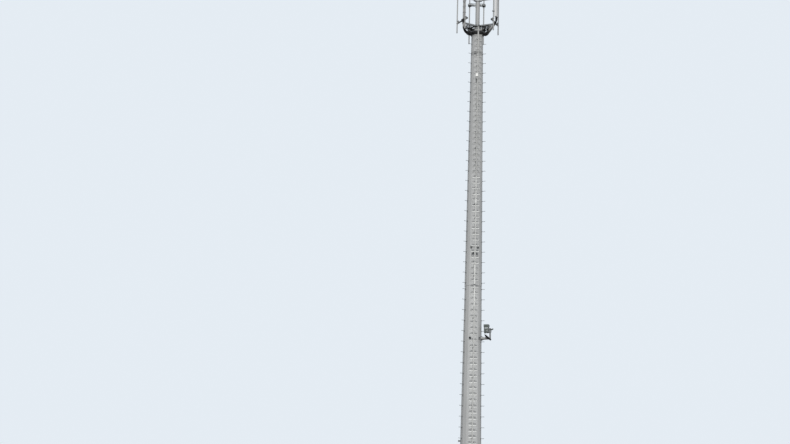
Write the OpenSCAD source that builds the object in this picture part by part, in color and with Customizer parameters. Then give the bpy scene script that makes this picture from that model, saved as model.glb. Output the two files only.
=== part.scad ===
// Slip-jointed steel mast for mobile telephone antennas, in millimetres.
// The origin is the centre of the foot flange's underside, +Z is up.
// -Y is the front, where the ladder is, and +X carries the side arm.

/* [Pole] */
// Height of the pole's top edge above the ground
pole_h = 25340; // [24500:10:25800]
// Height of the slip joint's visible edge above the ground
splice_z = 12550; // [11500:50:13500]
// Width of the pole across its flats at the ground
base_w = 1076; // [1040:2:1180]
// Width of the upper section across its flats at the slip joint
splice_w = 806; // [780:2:850]
// Width of the upper section across its flats at the top
top_w = 562; // [540:2:600]
// Number of flat sides
sides = 16; // [12:4:16]
// Plate thickness of the lower section
lower_t = 10; // [8:1:14]
// Plate thickness of the upper section
upper_t = 8; // [6:1:10]
// Length of the lower section that stands inside the upper one
lap_len = 1300; // [1000:50:1500]
// Clearance between the two sections in the slip joint
lap_gap = 0.3; // [0.1:0.1:0.6]
// Turn of the ladder's flat from the front towards +X
pole_turn = 6; // [0:1:12]

/* [Foot] */
// Thickness of the foot flange
flange_t = 50; // [40:5:70]
// Distance from the pole's face to the flange's rim
flange_out = 190; // [180:5:220]
// Distance from the pole's face to the flange's bore
flange_in = 110; // [60:5:140]
// Distance from the pole's face to the anchor bolt circle
bolt_out = 100; // [90:5:110]
// Radius of the anchor bolt holes
anchor_r = 20; // [16:1:22]
// Height of the foot gussets above the flange
gusset_h = 260; // [180:10:320]
// Thickness of the foot gussets
gusset_t = 16; // [12:1:20]

/* [Hand hole] */
// Height of the hand hole's lower edge above the ground
door_z = 700; // [600:10:900]
// Width of the hand hole
door_w = 300; // [240:10:340]
// Height of the hand hole
door_h = 900; // [700:10:1000]
// Width of the frame round the hand hole
door_rim = 40; // [30:5:50]
// How far the frame stands out from the pole's face
door_out = 45; // [30:5:70]
// Thickness of the cover plate
door_t = 6; // [4:1:8]

/* [Ladder] */
// Height of the ladder's foot above the ground
ladder_z = 2450; // [2200:50:2900]
// How far the ladder's rail rises above the pole's top edge
ladder_over = 180; // [100:10:220]
// Clear distance between the pole and the ladder's rail
ladder_gap = 160; // [140:5:190]
// Width of the rail
rail_w = 60; // [50:2:70]
// Depth of the rail
rail_d = 46; // [40:2:56]
// Wall thickness of the rail
rail_t = 6; // [4:1:8]
// Width of the slot down the rail's face
rail_slot = 20; // [14:2:26]
// Height from one rung to the next
rung_pitch = 280; // [250:5:300]
// Reach of a rung from the side of the rail
rung_len = 148; // [130:2:170]
// Height of a rung's bar
rung_h = 24; // [20:1:30]
// Depth of a rung's bar
rung_d = 30; // [24:1:36]
// Plate thickness of a rung
rung_t = 4; // [3:1:6]
// Height of the lip at a rung's end
lip_h = 26; // [16:1:36]
// Height from one bracket to the next on the lower section
lower_bracket_pitch = 1400; // [1000:50:1600]
// Height from one bracket to the next on the upper section
upper_bracket_pitch = 700; // [600:50:1000]
// Width of a bracket's foot plate
bracket_w = 96; // [80:2:100]

/* [Step pegs] */
// Height of the lowest pegs above the ground
peg_z = 2900; // [2700:50:3300]
// Height from one peg to the next
peg_pitch = 500; // [400:50:600]
// Reach of a peg from the pole's face
peg_len = 165; // [140:5:190]
// Radius of a peg
peg_r = 10; // [8:1:12]
// Distance of the nearest pegs from the slip joint
peg_clear = 150; // [120:10:200]

/* [Cable ports] */
// Height of the port at the side arm's height
low_port_z = 10050; // [10000:50:10200]
// Height of the pair of ports in the middle of the pole
mid_port_z = 14400; // [14300:50:14600]
// Height of the port near the top
top_port_z = 24200; // [24000:50:24400]
// Radius of a port
port_r = 45; // [35:1:48]
// How far a port's ring stands out from the pole
port_out = 28; // [20:1:40]

/* [Side arm] */
// Height of the side arm above the ground
side_z = 10060; // [9600:10:10400]
// Distance from the pole's face to the side arm's post
side_reach = 445; // [440:1:520]
// Radius of the side arm's tube
side_r = 60; // [50:1:62]
// Radius of the post
post_r = 38; // [30:1:42]
// Height of the post's top above the equipment box's underside
post_up = 200; // [198:2:280]
// Width of the equipment box along the arm
unit_w = 210; // [200:5:225]
// Depth of the equipment box
unit_d = 180; // [150:5:240]
// Height of the equipment box
unit_h = 385; // [370:5:420]
// Height of the equipment box above the arm
unit_z = 260; // [250:5:285]
// Clear distance between the post and the equipment box
unit_gap = 31; // [16:1:40]
// Radius of the sleeve that takes the cable into the arm
conduit_r = 38; // [26:1:40]
// Radius of the cable between the equipment box and its sleeve
lead_r = 12; // [8:1:14]

/* [Head] */
// Turn of the antenna head from the front towards +X
head_turn = 3; // [-10:1:15]
// Turn of the right sector from the head's front
right_turn = 67; // [60:1:70]
// Thickness of the two plates at the pole's top
plate_t = 25; // [20:1:30]
// How far the pole's top plate stands out from its face
plate_out = 37; // [30:1:50]
// Clear height between the two plates
plate_gap = 85; // [70:5:110]
// Diameter of the spigot mast
mast_d = 210; // [180:2:230]
// Height of the mast above its base plate
mast_h = 2680; // [2600:10:3000]
// Height of the lower arms above the mast's base plate
arm_z = 215; // [210:5:260]
// Height from the lower arms to the upper arms
arm_pitch = 1370; // [1300:10:1400]
// Side of the square arms
arm_w = 80; // [60:2:90]
// Height of the collars that carry the arms
hub_h = 120; // [90:5:140]
// Distance of the sector bars' centre line from the mast's centre
bar_reach = 885; // [840:5:950]
// Length of a sector bar
bar_len = 900; // [880:5:1000]
// Radius of a sector bar
bar_r = 38; // [30:1:42]
// Height of a sector bar above its arm
bar_rise = 110; // [90:5:120]
// Distance between a sector's two pipes
pipe_pitch = 720; // [680:5:740]
// Radius of an antenna pipe
pipe_r = 30; // [24:1:34]
// Length of an antenna pipe
pipe_len = 2950; // [2900:10:3200]
// How far the pipes hang below the lower bars
pipe_drop = 550; // [450:10:600]
// How much lower the back sector's pipes hang than the others
back_drop = 130; // [0:10:200]
// Width of a crossover plate between a bar and a pipe
cross_w = 170; // [150:5:190]

/* [Antennas] */
// Height of the tall panel
tall_h = 2000; // [1800:10:2100]
// Width of the tall panel
tall_w = 290; // [240:5:320]
// Height of the short panel
short_h = 1050; // [1000:10:1080]
// Width of the short panel
short_w = 260; // [220:5:300]
// Depth of both panels
panel_d = 120; // [90:5:150]
// Clear distance between a pipe and its panel
panel_gap = 60; // [50:5:80]
// Height of the tall panel's lower end above the lower bars
tall_rise = 100; // [80:10:140]
// Height of the short panel's lower end above the lower bars
short_rise = 1300; // [1260:10:1320]
// Radius of a jumper cable
jumper_r = 18; // [12:1:19]
// How far the cable boot stands out from the pole's top
boot_out = 57; // [48:1:60]

/* [Hidden] */
$fn = 48;
flat_step = 360 / sides;
seat = 0.2;
joint_w = splice_w - 2 * upper_t;
lap_top = splice_z + lap_len;
lower_tilt = atan((base_w - joint_w) / 2 / splice_z);
upper_tilt = atan((splice_w - top_w) / 2 / (pole_h - splice_z));
post_h = unit_z + post_up;
plate_r = top_w / 2 + plate_out;
base_plate_z = pole_h + plate_t + plate_gap;
mast_z = base_plate_z + plate_t;
low_arm_z = mast_z + arm_z;
low_bar_z = low_arm_z + bar_rise;
hub_r = mast_d / 2 + 30;
sector_turns = [-60, right_turn, 180];
split_turn = head_turn + (right_turn - 60) / 2;
pipe_reach = bar_reach + bar_r + 12 + pipe_r;
pipe_z = low_bar_z - pipe_drop;
panel_reach = pipe_reach + pipe_r + panel_gap;
tall_z = low_bar_z + tall_rise;
short_z = low_bar_z + short_rise;
boot_z = pole_h - 140;
boot_r = top_w / 2 + boot_out;

// Measures of the tapered pole

function lower_at(z) = base_w + (joint_w - base_w) * z / splice_z;
function upper_at(z) = splice_w + (top_w - splice_w) * (z - splice_z) / (pole_h - splice_z);
function pole_at(z) = z < splice_z ? lower_at(z) : upper_at(z);
function tilt_at(z) = z < splice_z ? lower_tilt : upper_tilt;

// A many-sided taper, wa across its flats at za and wb at zb
module taper(za, wa, zb, wb) {
    intersection_for (i = [0 : sides / 2 - 1])
        rotate([90, 0, i * flat_step])
            linear_extrude(2 * wa, center = true)
                polygon([[-wa / 2, za], [wa / 2, za], [wb / 2, zb], [-wb / 2, zb]]);
}

// A many-sided tapered tube with walls t thick
module tube(za, wa, zb, wb, t) {
    grow = (wb - wa) / (zb - za);
    difference() {
        taper(za, wa, zb, wb);
        taper(za - 1, wa - grow - 2 * t, zb + 1, wb + grow - 2 * t);
    }
}

// Puts its children on the pole's flat at height z, with -Y pointing outwards
module on_flat(z, turn = 0) {
    rotate([0, 0, pole_turn + turn])
        translate([0, -pole_at(z) / 2, z])
            rotate([-tilt_at(z), 0, 0])
                children();
}

// A block centred on X, from y0 outwards by d, and from z0 up by h
module block(w, y0, d, z0, h) {
    translate([-w / 2, -y0 - d, z0])
        cube([w, d, h]);
}

// A rod that points outwards from y0
module rod(r, y0, len) {
    translate([0, -y0, 0])
        rotate([90, 0, 0])
            cylinder(h = len, r = r);
}

// A point at t from b to c on the smooth curve through a, b, c and d
function between(a, b, c, d, t) = b + 0.5 * (
    (c - a) * t + (2 * a - 5 * b + 4 * c - d) * t * t
    + (3 * b - a - 3 * c + d) * t * t * t);

// A smooth route through the points, with n steps between each two
function route(points, n = 5) = let (last = len(points) - 1) [
    for (i = [0 : last - 1], k = [0 : n - 1])
        between(points[max(i - 1, 0)], points[i], points[i + 1],
                points[min(i + 2, last)], k / n),
    points[last]
];

function unit(v) = v / norm(v);

// The corners of a cable's section at place i of its route
function ring(path, i, r, flat, n) =
    let (ahead = unit(path[min(i + 1, len(path) - 1)] - path[max(i - 1, 0)]),
         u = unit(cross(ahead, flat)), v = cross(ahead, u))
    [for (k = [0 : n - 1]) path[i] + r * (cos(k * 360 / n) * u + sin(k * 360 / n) * v)];

// A cable of radius r through the points, whose bends lie square to flat
module cable(points, r, flat, n = 10) {
    path = route(points);
    last = len(path) - 1;
    sides_of = [
        for (i = [0 : last - 1], k = [0 : n - 1])
            [(i + 1) * n + k, (i + 1) * n + (k + 1) % n, i * n + (k + 1) % n, i * n + k]
    ];
    ends = [[for (k = [0 : n - 1]) k], [for (k = [n - 1 : -1 : 0]) last * n + k]];
    polyhedron([for (i = [0 : last]) each ring(path, i, r, flat, n)],
               concat(sides_of, ends));
}

// Foot

module base_flange() {
    rim_r = base_w / 2 + flange_out;
    bolt_r = base_w / 2 + bolt_out;
    color("darkgray")
        rotate([0, 0, pole_turn])
            difference() {
                cylinder(h = flange_t, r = rim_r, $fn = 96);
                translate([0, 0, -1])
                    cylinder(h = flange_t + 2, r = base_w / 2 - flange_in, $fn = 96);
                for (i = [0 : 2 * sides - 1])
                    rotate([0, 0, (i + 0.5) * flat_step / 2])
                        translate([bolt_r, 0, -1])
                            cylinder(h = flange_t + 2, r = anchor_r);
            }
}

module base_gussets() {
    top = flange_t + gusset_h;
    rim = base_w / 2 + flange_out - 30;
    color("darkgray")
        for (i = [0 : sides - 1])
            rotate([90, 0, pole_turn + i * flat_step])
                linear_extrude(gusset_t, center = true)
                    polygon([
                        [lower_at(flange_t) / 2, flange_t], [rim, flange_t],
                        [rim, flange_t + 30], [lower_at(top) / 2 + 24, top],
                        [lower_at(top) / 2, top]
                    ]);
}

// Shafts

// Outside width of the part of the lower section that the upper one slips over
function lap_at(z) = upper_at(z) - 2 * upper_t - 2 * lap_gap;

module lower_shaft() {
    color("silver")
        difference() {
            rotate([0, 0, pole_turn])
                union() {
                    tube(flange_t, lower_at(flange_t), splice_z, joint_w, lower_t);
                    tube(splice_z - 60, lap_at(splice_z - 60), lap_top, lap_at(lap_top), lower_t);
                }
            rotate([0, 0, pole_turn])
                hand_hole(door_w, door_h, base_w / 2 - 200, 300);
            at_low_port()
                rod(port_r, -60, 120);
        }
}

module upper_shaft() {
    color("silver")
        difference() {
            rotate([0, 0, pole_turn])
                tube(splice_z, splice_w, pole_h, top_w, upper_t);
            at_upper_ports()
                rod(port_r, -60, 120);
        }
}

// A body with round ends on the front of the pole, w wide and h high round the
// hand hole's centre, that reaches from y0 outwards by d
module hand_hole(w, h, y0, d) {
    mid = door_z + door_h / 2;
    block(w, y0, d, mid - (h - w) / 2, h - w);
    for (z = [-1, 1])
        translate([0, 0, mid + z * (h - w) / 2])
            rod(w / 2, y0, d);
}

door_face = lower_at(door_z - door_rim) / 2 + door_out;

module hand_hole_frame() {
    color("darkgray")
        rotate([0, 0, pole_turn])
            difference() {
                hand_hole(door_w + 2 * door_rim, door_h + 2 * door_rim,
                          door_face - 150, 150);
                hand_hole(door_w, door_h, door_face - 160, 170);
                taper(0, base_w, splice_z, joint_w);
            }
}

module hand_hole_cover() {
    color("silver")
        rotate([0, 0, pole_turn])
            hand_hole(door_w + 2 * door_rim - 10, door_h + 2 * door_rim - 10,
                      door_face, door_t);
}

// Ladder

upper_ladder_z = splice_z + 30;
lower_run = (splice_z - 40 - ladder_z) / cos(lower_tilt);
upper_run = (pole_h + ladder_over - upper_ladder_z) / cos(upper_tilt);

// The rail's section, open towards the climber
module rail_section() {
    w = rail_w / 2;
    s = rail_slot / 2;
    translate([0, -ladder_gap])
        polygon([
            [-w, 0], [-w, -rail_d], [-s, -rail_d], [-s, rail_t - rail_d],
            [rail_t - w, rail_t - rail_d], [rail_t - w, -rail_t],
            [w - rail_t, -rail_t], [w - rail_t, rail_t - rail_d],
            [s, rail_t - rail_d], [s, -rail_d], [w, -rail_d], [w, 0]
        ]);
}

// The outline of a rung and its upturned lip, seen from the front
module rung_side(len, h, lip) {
    polygon([
        [0, 0], [len, 0], [len, h + lip], [len - 6, h + lip], [len - 6, h], [0, h]
    ]);
}

// The pairs of rungs on a length of rail, folded channels that are open below
module rungs(run) {
    for (z = [rung_pitch / 2 : rung_pitch : run - rung_h])
        for (side = [0, 1])
            mirror([side, 0, 0])
                translate([rail_w / 2, -ladder_gap - (rail_d - rung_d) / 2, z])
                    difference() {
                        rotate([90, 0, 0])
                            linear_extrude(rung_d)
                                rung_side(rung_len, rung_h, lip_h);
                        translate([-1, rung_t - rung_d, -1])
                            cube([rung_len - 5, rung_d - 2 * rung_t, rung_h + 1 - rung_t]);
                    }
}

// A bracket: foot plate, two cheeks and the plate behind the rail
module bracket() {
    block(bracket_w, -seat, 8 + seat, -45, 90);
    difference() {
        block(48, 8, ladder_gap - 14, -24, 48);
        block(34, 7, ladder_gap - 12, -25, 50);
    }
    block(rail_w + 24, ladder_gap - 6, 6, -35, 70);
}

module ladder_rail_lower() {
    color("gainsboro")
        on_flat(ladder_z)
            linear_extrude(lower_run)
                rail_section();
}

module ladder_rail_upper() {
    color("gainsboro")
        on_flat(upper_ladder_z)
            linear_extrude(upper_run)
                rail_section();
}

module ladder_rungs_lower() {
    color("lightgray")
        on_flat(ladder_z)
            rungs(lower_run);
}

module ladder_rungs_upper() {
    color("lightgray")
        on_flat(upper_ladder_z)
            rungs(upper_run);
}

module ladder_brackets_lower() {
    color("dimgray")
        for (z = [ladder_z + 150 : lower_bracket_pitch : splice_z - 80])
            on_flat(z)
                bracket();
}

module ladder_brackets_upper() {
    color("dimgray")
        for (z = [upper_ladder_z + 420 : upper_bracket_pitch : pole_h - 200])
            on_flat(z)
                bracket();
}

// Sleeves that join the lengths of rail, midway between two rungs
module rail_joints() {
    color("gainsboro")
        for (k = [11, 22, 33])
            on_flat(upper_ladder_z)
                translate([0, 0, k * rung_pitch])
                    difference() {
                        block(rail_w + 12, ladder_gap - 6, rail_d + 4, -70, 140);
                        block(rail_w, ladder_gap, rail_d + 10, -71, 142);
                    }
}

// Step pegs

lower_peg_n = floor((splice_z - peg_clear - peg_z) / peg_pitch);
upper_peg_n = floor((pole_h - 400 - splice_z - peg_clear) / peg_pitch);
peg_heights = [
    for (i = [0 : lower_peg_n]) peg_z + i * peg_pitch,
    for (i = [0 : upper_peg_n]) splice_z + peg_clear + i * peg_pitch
];

// Puts its children at each peg on one side, -1 left and 1 right, but not where
// the side arm's plate is
module at_pegs(side) {
    for (z = peg_heights)
        if (side < 0 || abs(z - side_z) > 150)
            on_flat(z, side * (90 - flat_step))
                children();
}

module pegs(side) {
    at_pegs(side) {
        rod(peg_r, -seat, peg_len);
        rod(peg_r + 6, peg_len - 8, 8);
    }
}

module bosses(side) {
    at_pegs(side)
        difference() {
            rotate([90, 0, 0])
                translate([0, 0, -seat])
                    cylinder(h = 26, r = 2 * peg_r + 2, $fn = 6);
            rod(peg_r, -5, 40);
        }
}

module step_pegs_left() {
    color("gray")
        pegs(-1);
}

module step_pegs_right() {
    color("gray")
        pegs(1);
}

module peg_bosses_left() {
    color("dimgray")
        bosses(-1);
}

module peg_bosses_right() {
    color("dimgray")
        bosses(1);
}

// Ports and small fittings

// Puts its children at the cable port of the lower section
module at_low_port() {
    on_flat(low_port_z, -flat_step)
        translate([15, 0, 0])
            children();
}

// Puts its children at each cable port of the upper section
module at_upper_ports() {
    for (side = [-1, 1])
        on_flat(mid_port_z, side * flat_step)
            children();
    on_flat(top_port_z, -flat_step)
        children();
}

// Puts its children at every cable port
module at_ports() {
    at_low_port()
        children();
    at_upper_ports()
        children();
}

module port_rings() {
    color("darkgray")
        at_ports()
            difference() {
                rod(port_r + 14, -seat, port_out);
                rod(port_r, -20, port_out + 40);
            }
}

module port_boots() {
    color("black")
        at_ports() {
            rod(port_r, -6, port_out);
            rod(port_r * 0.6, port_out - 7, 26);
        }
}

// The blank white plate on the left of the rail's face, near the top
module blank_plate() {
    color("white")
        on_flat(pole_h - 2360)
            translate([-40, 0, 0])
                block(108, ladder_gap + rail_d, 4, -75, 150);
}

// The earthing lug on the left side of the lower section
module earth_lug() {
    color("dimgray")
        on_flat(peg_z + 4.75 * peg_pitch, -90)
            difference() {
                block(50, -seat, 110, -40, 80);
                translate([-26, -70, 0])
                    rotate([0, 90, 0])
                        cylinder(h = 52, r = 9);
            }
}

// Side arm and its equipment

// Puts its children at the side arm's foot, with -Y pointing outwards
module at_side() {
    on_flat(side_z, 90 - flat_step)
        children();
}

// A post-sized cylinder on the post's centre line
module post_line(r, z0, h) {
    translate([0, -side_reach, z0])
        cylinder(h = h, r = r);
}

// The arm's foot plate with a gusset below and above the arm, and the saddle
// plate on the next flat towards the front
module side_plate() {
    color("dimgray") {
        at_side()
            block(140, seat / 2, 12, -110, 240);
        at_side()
            for (side = [0, 1])
                mirror([0, 0, side])
                    rotate([90, 0, 90])
                        linear_extrude(10, center = true)
                            polygon([
                                [seat - 11, -104], [seat - 11, seat - side_r],
                                [-130, seat - side_r], [-130, -side_r - 12],
                                [-20, -104]
                            ]);
        on_flat(side_z, 90 - 2 * flat_step)
            block(150, seat / 2, 10, -60, 120);
    }
}

module side_arm() {
    color("silver")
        at_side()
            difference() {
                rod(side_r, 12 - seat, side_reach - 12 + seat);
                rod(side_r - 5, 0, side_reach + 10);
                post_line(post_r, -100, 200);
            }
}

module side_post() {
    color("gray")
        at_side()
            difference() {
                post_line(post_r, -70, post_h + 70);
                post_line(post_r - 5, -71, post_h + 72);
            }
}

module post_cap() {
    color("black")
        at_side()
            post_line(post_r + 3, post_h, 12);
}

unit_in = side_reach - post_r - unit_gap - unit_w;

module unit_clamps() {
    color("dimgray")
        at_side()
            difference() {
                for (z = [unit_z + 30, unit_z + 164])
                    block(110, unit_in + unit_w, unit_gap + 2 * post_r + 14, z, 32);
                post_line(post_r, 0, post_h);
            }
}

module unit_box() {
    color("darkslategray")
        at_side()
            block(unit_d, unit_in, unit_w, unit_z, unit_h);
}

// The folded roof over the equipment box
module unit_hood() {
    color("dimgray")
        at_side()
            difference() {
                block(unit_d + 24, unit_in - 12, unit_w + 24, unit_z + unit_h - 110, 114);
                block(unit_d, unit_in, unit_w, unit_z, unit_h);
            }
}

module unit_window() {
    color("lightgray")
        at_side()
            translate([-unit_d / 2 - 6, -unit_in - unit_w + 35, unit_z + unit_h - 200])
                cube([6, unit_w - 70, 75]);
}

// The cable from the box's underside and the thick sleeve that it goes into, which
// slopes down across the arm's front and sits on the arm with a cradle
module unit_conduit() {
    front = side_r + conduit_r + 2;
    start = unit_in + 45;
    head = side_reach - 200;
    foot = side_reach + 28;
    fall = 190;
    lean = atan(fall / (foot - head));
    color("black")
        at_side() {
            cable([
                [-60, -start, unit_z + seat], [-62, -start + 2, unit_z - 40],
                [-80, 30 - head, 205], [12 - front, 34 - head, 165],
                [-front, 10 - head, 134], [-front, -head - 16, 112]
            ], lead_r, [1, 0, 0]);
            translate([-front, -head, 125])
                rotate([90 + lean, 0, 0])
                    cylinder(h = norm([foot - head, fall]), r = conduit_r);
            difference() {
                translate([-front, 75 - side_reach, -25])
                    cube([front - 30, 50, 60]);
                rod(side_r - seat, 0, side_reach + 60);
            }
        }
}

module stub_lamp() {
    color("darkslategray")
        at_side()
            translate([0, -side_reach, unit_z + 98])
                rotate([-30, 0, 0])
                    difference() {
                        rod(27, 20, 150);
                        rotate([30, 0, 0])
                            translate([0, 0, -200])
                                cylinder(h = 400, r = post_r);
                    }
}

// Pole top and mast

module cable_boot() {
    color("black")
        translate([0, 0, boot_z])
            difference() {
                cylinder(h = 130, r = boot_r);
                rotate([0, 0, pole_turn])
                    translate([0, 0, -boot_z])
                        taper(splice_z, splice_w, pole_h + 1, upper_at(pole_h + 1));
            }
}

module top_plate() {
    color("darkgray")
        translate([0, 0, pole_h])
            cylinder(h = plate_t, r = plate_r, $fn = 96);
}

module plate_studs() {
    color("gray")
        for (i = [0 : 7])
            rotate([0, 0, 22.5 + i * 45])
                translate([plate_r - 50, 0, pole_h + plate_t])
                    cylinder(h = plate_gap, r = 16);
}

module mast_base() {
    color("darkgray")
        translate([0, 0, base_plate_z])
            cylinder(h = plate_t, r = plate_r, $fn = 96);
}

module mast_gussets() {
    foot = plate_r - 20;
    root = mast_d / 2;
    color("gray")
        for (i = [0 : 7])
            rotate([90, 0, i * 45])
                linear_extrude(12, center = true)
                    polygon([
                        [root - seat, mast_z], [foot, mast_z], [foot, mast_z + 20],
                        [root + 20, mast_z + 130], [root - seat, mast_z + 130]
                    ]);
}

module mast() {
    color("gray")
        translate([0, 0, mast_z])
            difference() {
                cylinder(h = mast_h, r = mast_d / 2);
                translate([0, 0, -1])
                    cylinder(h = mast_h + 2, r = mast_d / 2 - 8);
            }
}

module mast_cap() {
    color("gray")
        translate([0, 0, mast_z + mast_h])
            cylinder(h = 16, r = mast_d / 2 + 6);
}

// Arms, bars and pipes

// Puts its children at the front of each sector
module sectors() {
    for (turn = sector_turns)
        rotate([0, 0, head_turn + turn])
            children();
}

// Puts its children at the height of the lower and of the upper arms
module levels() {
    for (z = [low_arm_z, low_arm_z + arm_pitch])
        translate([0, 0, z])
            children();
}

// Puts its children at the foot of each antenna pipe
module at_pipes() {
    for (turn = sector_turns, side = [-1, 1])
        rotate([0, 0, head_turn + turn])
            translate([side * pipe_pitch / 2, -pipe_reach,
                       pipe_z - (turn == 180 ? back_drop : 0)])
                children();
}

// Split collars that grip the mast, with a pair of ears at each end of the
// split, midway between the arms
module arm_hubs() {
    color("dimgray")
        levels()
            rotate([0, 0, split_turn])
                difference() {
                    union() {
                        translate([0, 0, -hub_h / 2])
                            cylinder(h = hub_h, r = hub_r);
                        block(2 * hub_r + 130, -14, 28, -hub_h / 2, hub_h);
                    }
                    translate([0, 0, -hub_h / 2 - 1])
                        cylinder(h = hub_h + 2, r = mast_d / 2);
                    block(4 * hub_r, -4, 8, -hub_h / 2 - 1, hub_h + 2);
                }
}

// Square tubes whose inner ends are cut to the round of the collars
module sector_arms() {
    root = hub_r - 30;
    tip = bar_reach - bar_r - 12;
    color("dimgray")
        levels()
            sectors()
                difference() {
                    block(arm_w, root, tip - root, -arm_w / 2, arm_w);
                    block(arm_w - 12, root - 1, tip - root + 2, 6 - arm_w / 2, arm_w - 12);
                    translate([0, 0, -arm_w])
                        cylinder(h = 2 * arm_w, r = hub_r - seat);
                }
}

// The plate at each arm's end, which the bar is bolted to
module arm_plates() {
    color("dimgray")
        levels()
            sectors()
                block(150, bar_reach - bar_r - 12, 12, -60, bar_rise + 120);
}

module sector_bars() {
    color("dimgray")
        levels()
            sectors()
                translate([0, -bar_reach, bar_rise])
                    rotate([0, 90, 0])
                        difference() {
                            cylinder(h = bar_len, r = bar_r, center = true);
                            cylinder(h = bar_len + 2, r = bar_r - 5, center = true);
                        }
}

module crossover_plates() {
    color("dimgray")
        levels()
            sectors()
                for (side = [-1, 1])
                    translate([side * pipe_pitch / 2, 0, 0])
                        block(cross_w, bar_reach + bar_r, 12,
                              bar_rise - cross_w / 2, cross_w);
}

module antenna_pipes() {
    color("darkgray")
        at_pipes()
            difference() {
                cylinder(h = pipe_len, r = pipe_r);
                translate([0, 0, -1])
                    cylinder(h = pipe_len + 2, r = pipe_r - 4);
            }
}

module pipe_caps() {
    color("black")
        at_pipes()
            translate([0, 0, pipe_len])
                cylinder(h = 14, r = pipe_r + 2);
}

// Antennas

// A panel with a flat back and a bowed face, h high and w wide
module panel(w, h) {
    bow = panel_d * 0.3;
    bow_r = (w * w / 4 + bow * bow) / 2 / bow;
    intersection() {
        block(w, panel_reach, panel_d, 0, h);
        translate([0, bow_r - panel_reach - panel_d, -1])
            cylinder(h = h + 2, r = bow_r);
    }
}

// Two rows of stubs under a panel, where its cables go in
module sockets() {
    for (x = [-1, 1], y = [-1, 1])
        translate([x * socket_step, y * socket_step - socket_reach, -34])
            cylinder(h = 34, r = jumper_r + 2);
}

// Puts its children on the pipe that carries the tall panel
module at_tall() {
    rotate([0, 0, head_turn + right_turn])
        translate([-pipe_pitch / 2, 0, tall_z])
            children();
}

// Puts its children on the pipe that carries the short panel
module at_short() {
    rotate([0, 0, head_turn - 60])
        translate([pipe_pitch / 2, 0, short_z])
            children();
}

module tall_panel() {
    color("whitesmoke")
        at_tall() {
            panel(tall_w, tall_h);
            sockets();
        }
}

module short_panel() {
    color("whitesmoke")
        at_short() {
            panel(short_w, short_h);
            sockets();
        }
}

// A clamp round the pipe with an arm to the panel's back, at height z
module panel_bracket(z) {
    wrap = pipe_r + 16;
    translate([0, -pipe_reach, z])
        difference() {
            union() {
                block(96, -wrap, wrap - 5, -25, 50);
                block(96, 5, pipe_r + 11, -25, 50);
                block(44, pipe_r + 16, panel_gap - 24, -20, 40);
                block(120, pipe_r + panel_gap - 8, 8, -35, 70);
            }
            translate([0, 0, -26])
                cylinder(h = 52, r = pipe_r);
        }
}

module panel_brackets() {
    color("gray") {
        at_tall() {
            panel_bracket(330);
            panel_bracket(tall_h - 180);
        }
        at_short() {
            panel_bracket(240);
            panel_bracket(short_h - 130);
        }
    }
}

// Jumper cables

cable_z = boot_z + 70;
side_gap = jumper_r + 3;
row_gap = jumper_r + 2;
socket_step = jumper_r + 8;
socket_reach = panel_reach + panel_d / 2;

// Where a bundle runs beside its pipe
bundle_x = pipe_pitch / 2 - pipe_r - 14 - jumper_r - side_gap;

// Corner i of a bundle of four: its column and its row
function column(i) = i % 2 == 0 ? 1 : -1;
function row(i) = i < 2 ? 1 : -1;

// The place of cable i beside point k of the bundle's middle line
function strand(line, i, k) =
    let (run = line[min(k + 1, len(line) - 1)] - line[max(k - 1, 0)],
         far = norm([run[1], run[2]]))
    line[k] + [column(i) * side_gap, -row(i) * row_gap * run[2] / far,
               row(i) * row_gap * run[1] / far];

// Cable i of a bundle, from the boot along the middle line to its socket at height z
function bundle(line, i, z) = let (
    x = line[0][0] + column(i) * side_gap,
    end_x = pipe_pitch / 2 + column(i) * socket_step,
    end_y = -socket_reach - row(i) * socket_step
) [
    [x, 4 - sqrt(boot_r * boot_r - x * x), cable_z - row(i) * row_gap],
    for (k = [1 : len(line) - 1]) strand(line, i, k),
    [end_x, end_y, z - 130],
    [end_x, end_y, z - 78],
    [end_x, end_y, z - 34 + seat]
];

// Middle line of the right bundle, which hangs below the bar and rises outside its pipe
right_line = [
    [75, -boot_r, cable_z],
    [95, -boot_r - 120, cable_z - 55],
    [150, -boot_r - 260, cable_z - 40],
    [220, 225 - pipe_reach, cable_z + 60],
    [270, 85 - pipe_reach, tall_z - 450],
    [bundle_x, -20 - pipe_reach, tall_z - 330],
    [bundle_x + 20, -95 - pipe_reach, tall_z - 240]
];

// Middle line of the left bundle, which hangs lower and climbs beside its pipe
left_line = [
    [75, -boot_r, cable_z],
    [95, -boot_r - 120, cable_z - 65],
    [150, -boot_r - 280, cable_z - 105],
    [220, 165 - pipe_reach, cable_z - 110],
    [270, 35 - pipe_reach, cable_z - 40],
    [bundle_x, -25 - pipe_reach, cable_z + 120],
    [bundle_x, -30 - pipe_reach, cable_z + 320],
    [bundle_x, -30 - pipe_reach, low_bar_z + 370],
    [bundle_x, -30 - pipe_reach, short_z - 330]
];

// The cables from the boot to the tall panel
module jumpers_right() {
    color("black")
        rotate([0, 0, head_turn + right_turn])
            for (i = [0 : 3])
                mirror([1, 0, 0])
                    cable(bundle(right_line, i, tall_z), jumper_r, [1, 0, 0]);
}

// The cables from the boot to the short panel
module jumpers_left() {
    color("black")
        rotate([0, 0, head_turn - 60])
            for (i = [0 : 3])
                cable(bundle(left_line, i, short_z), jumper_r, [1, 0, 0]);
}

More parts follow.
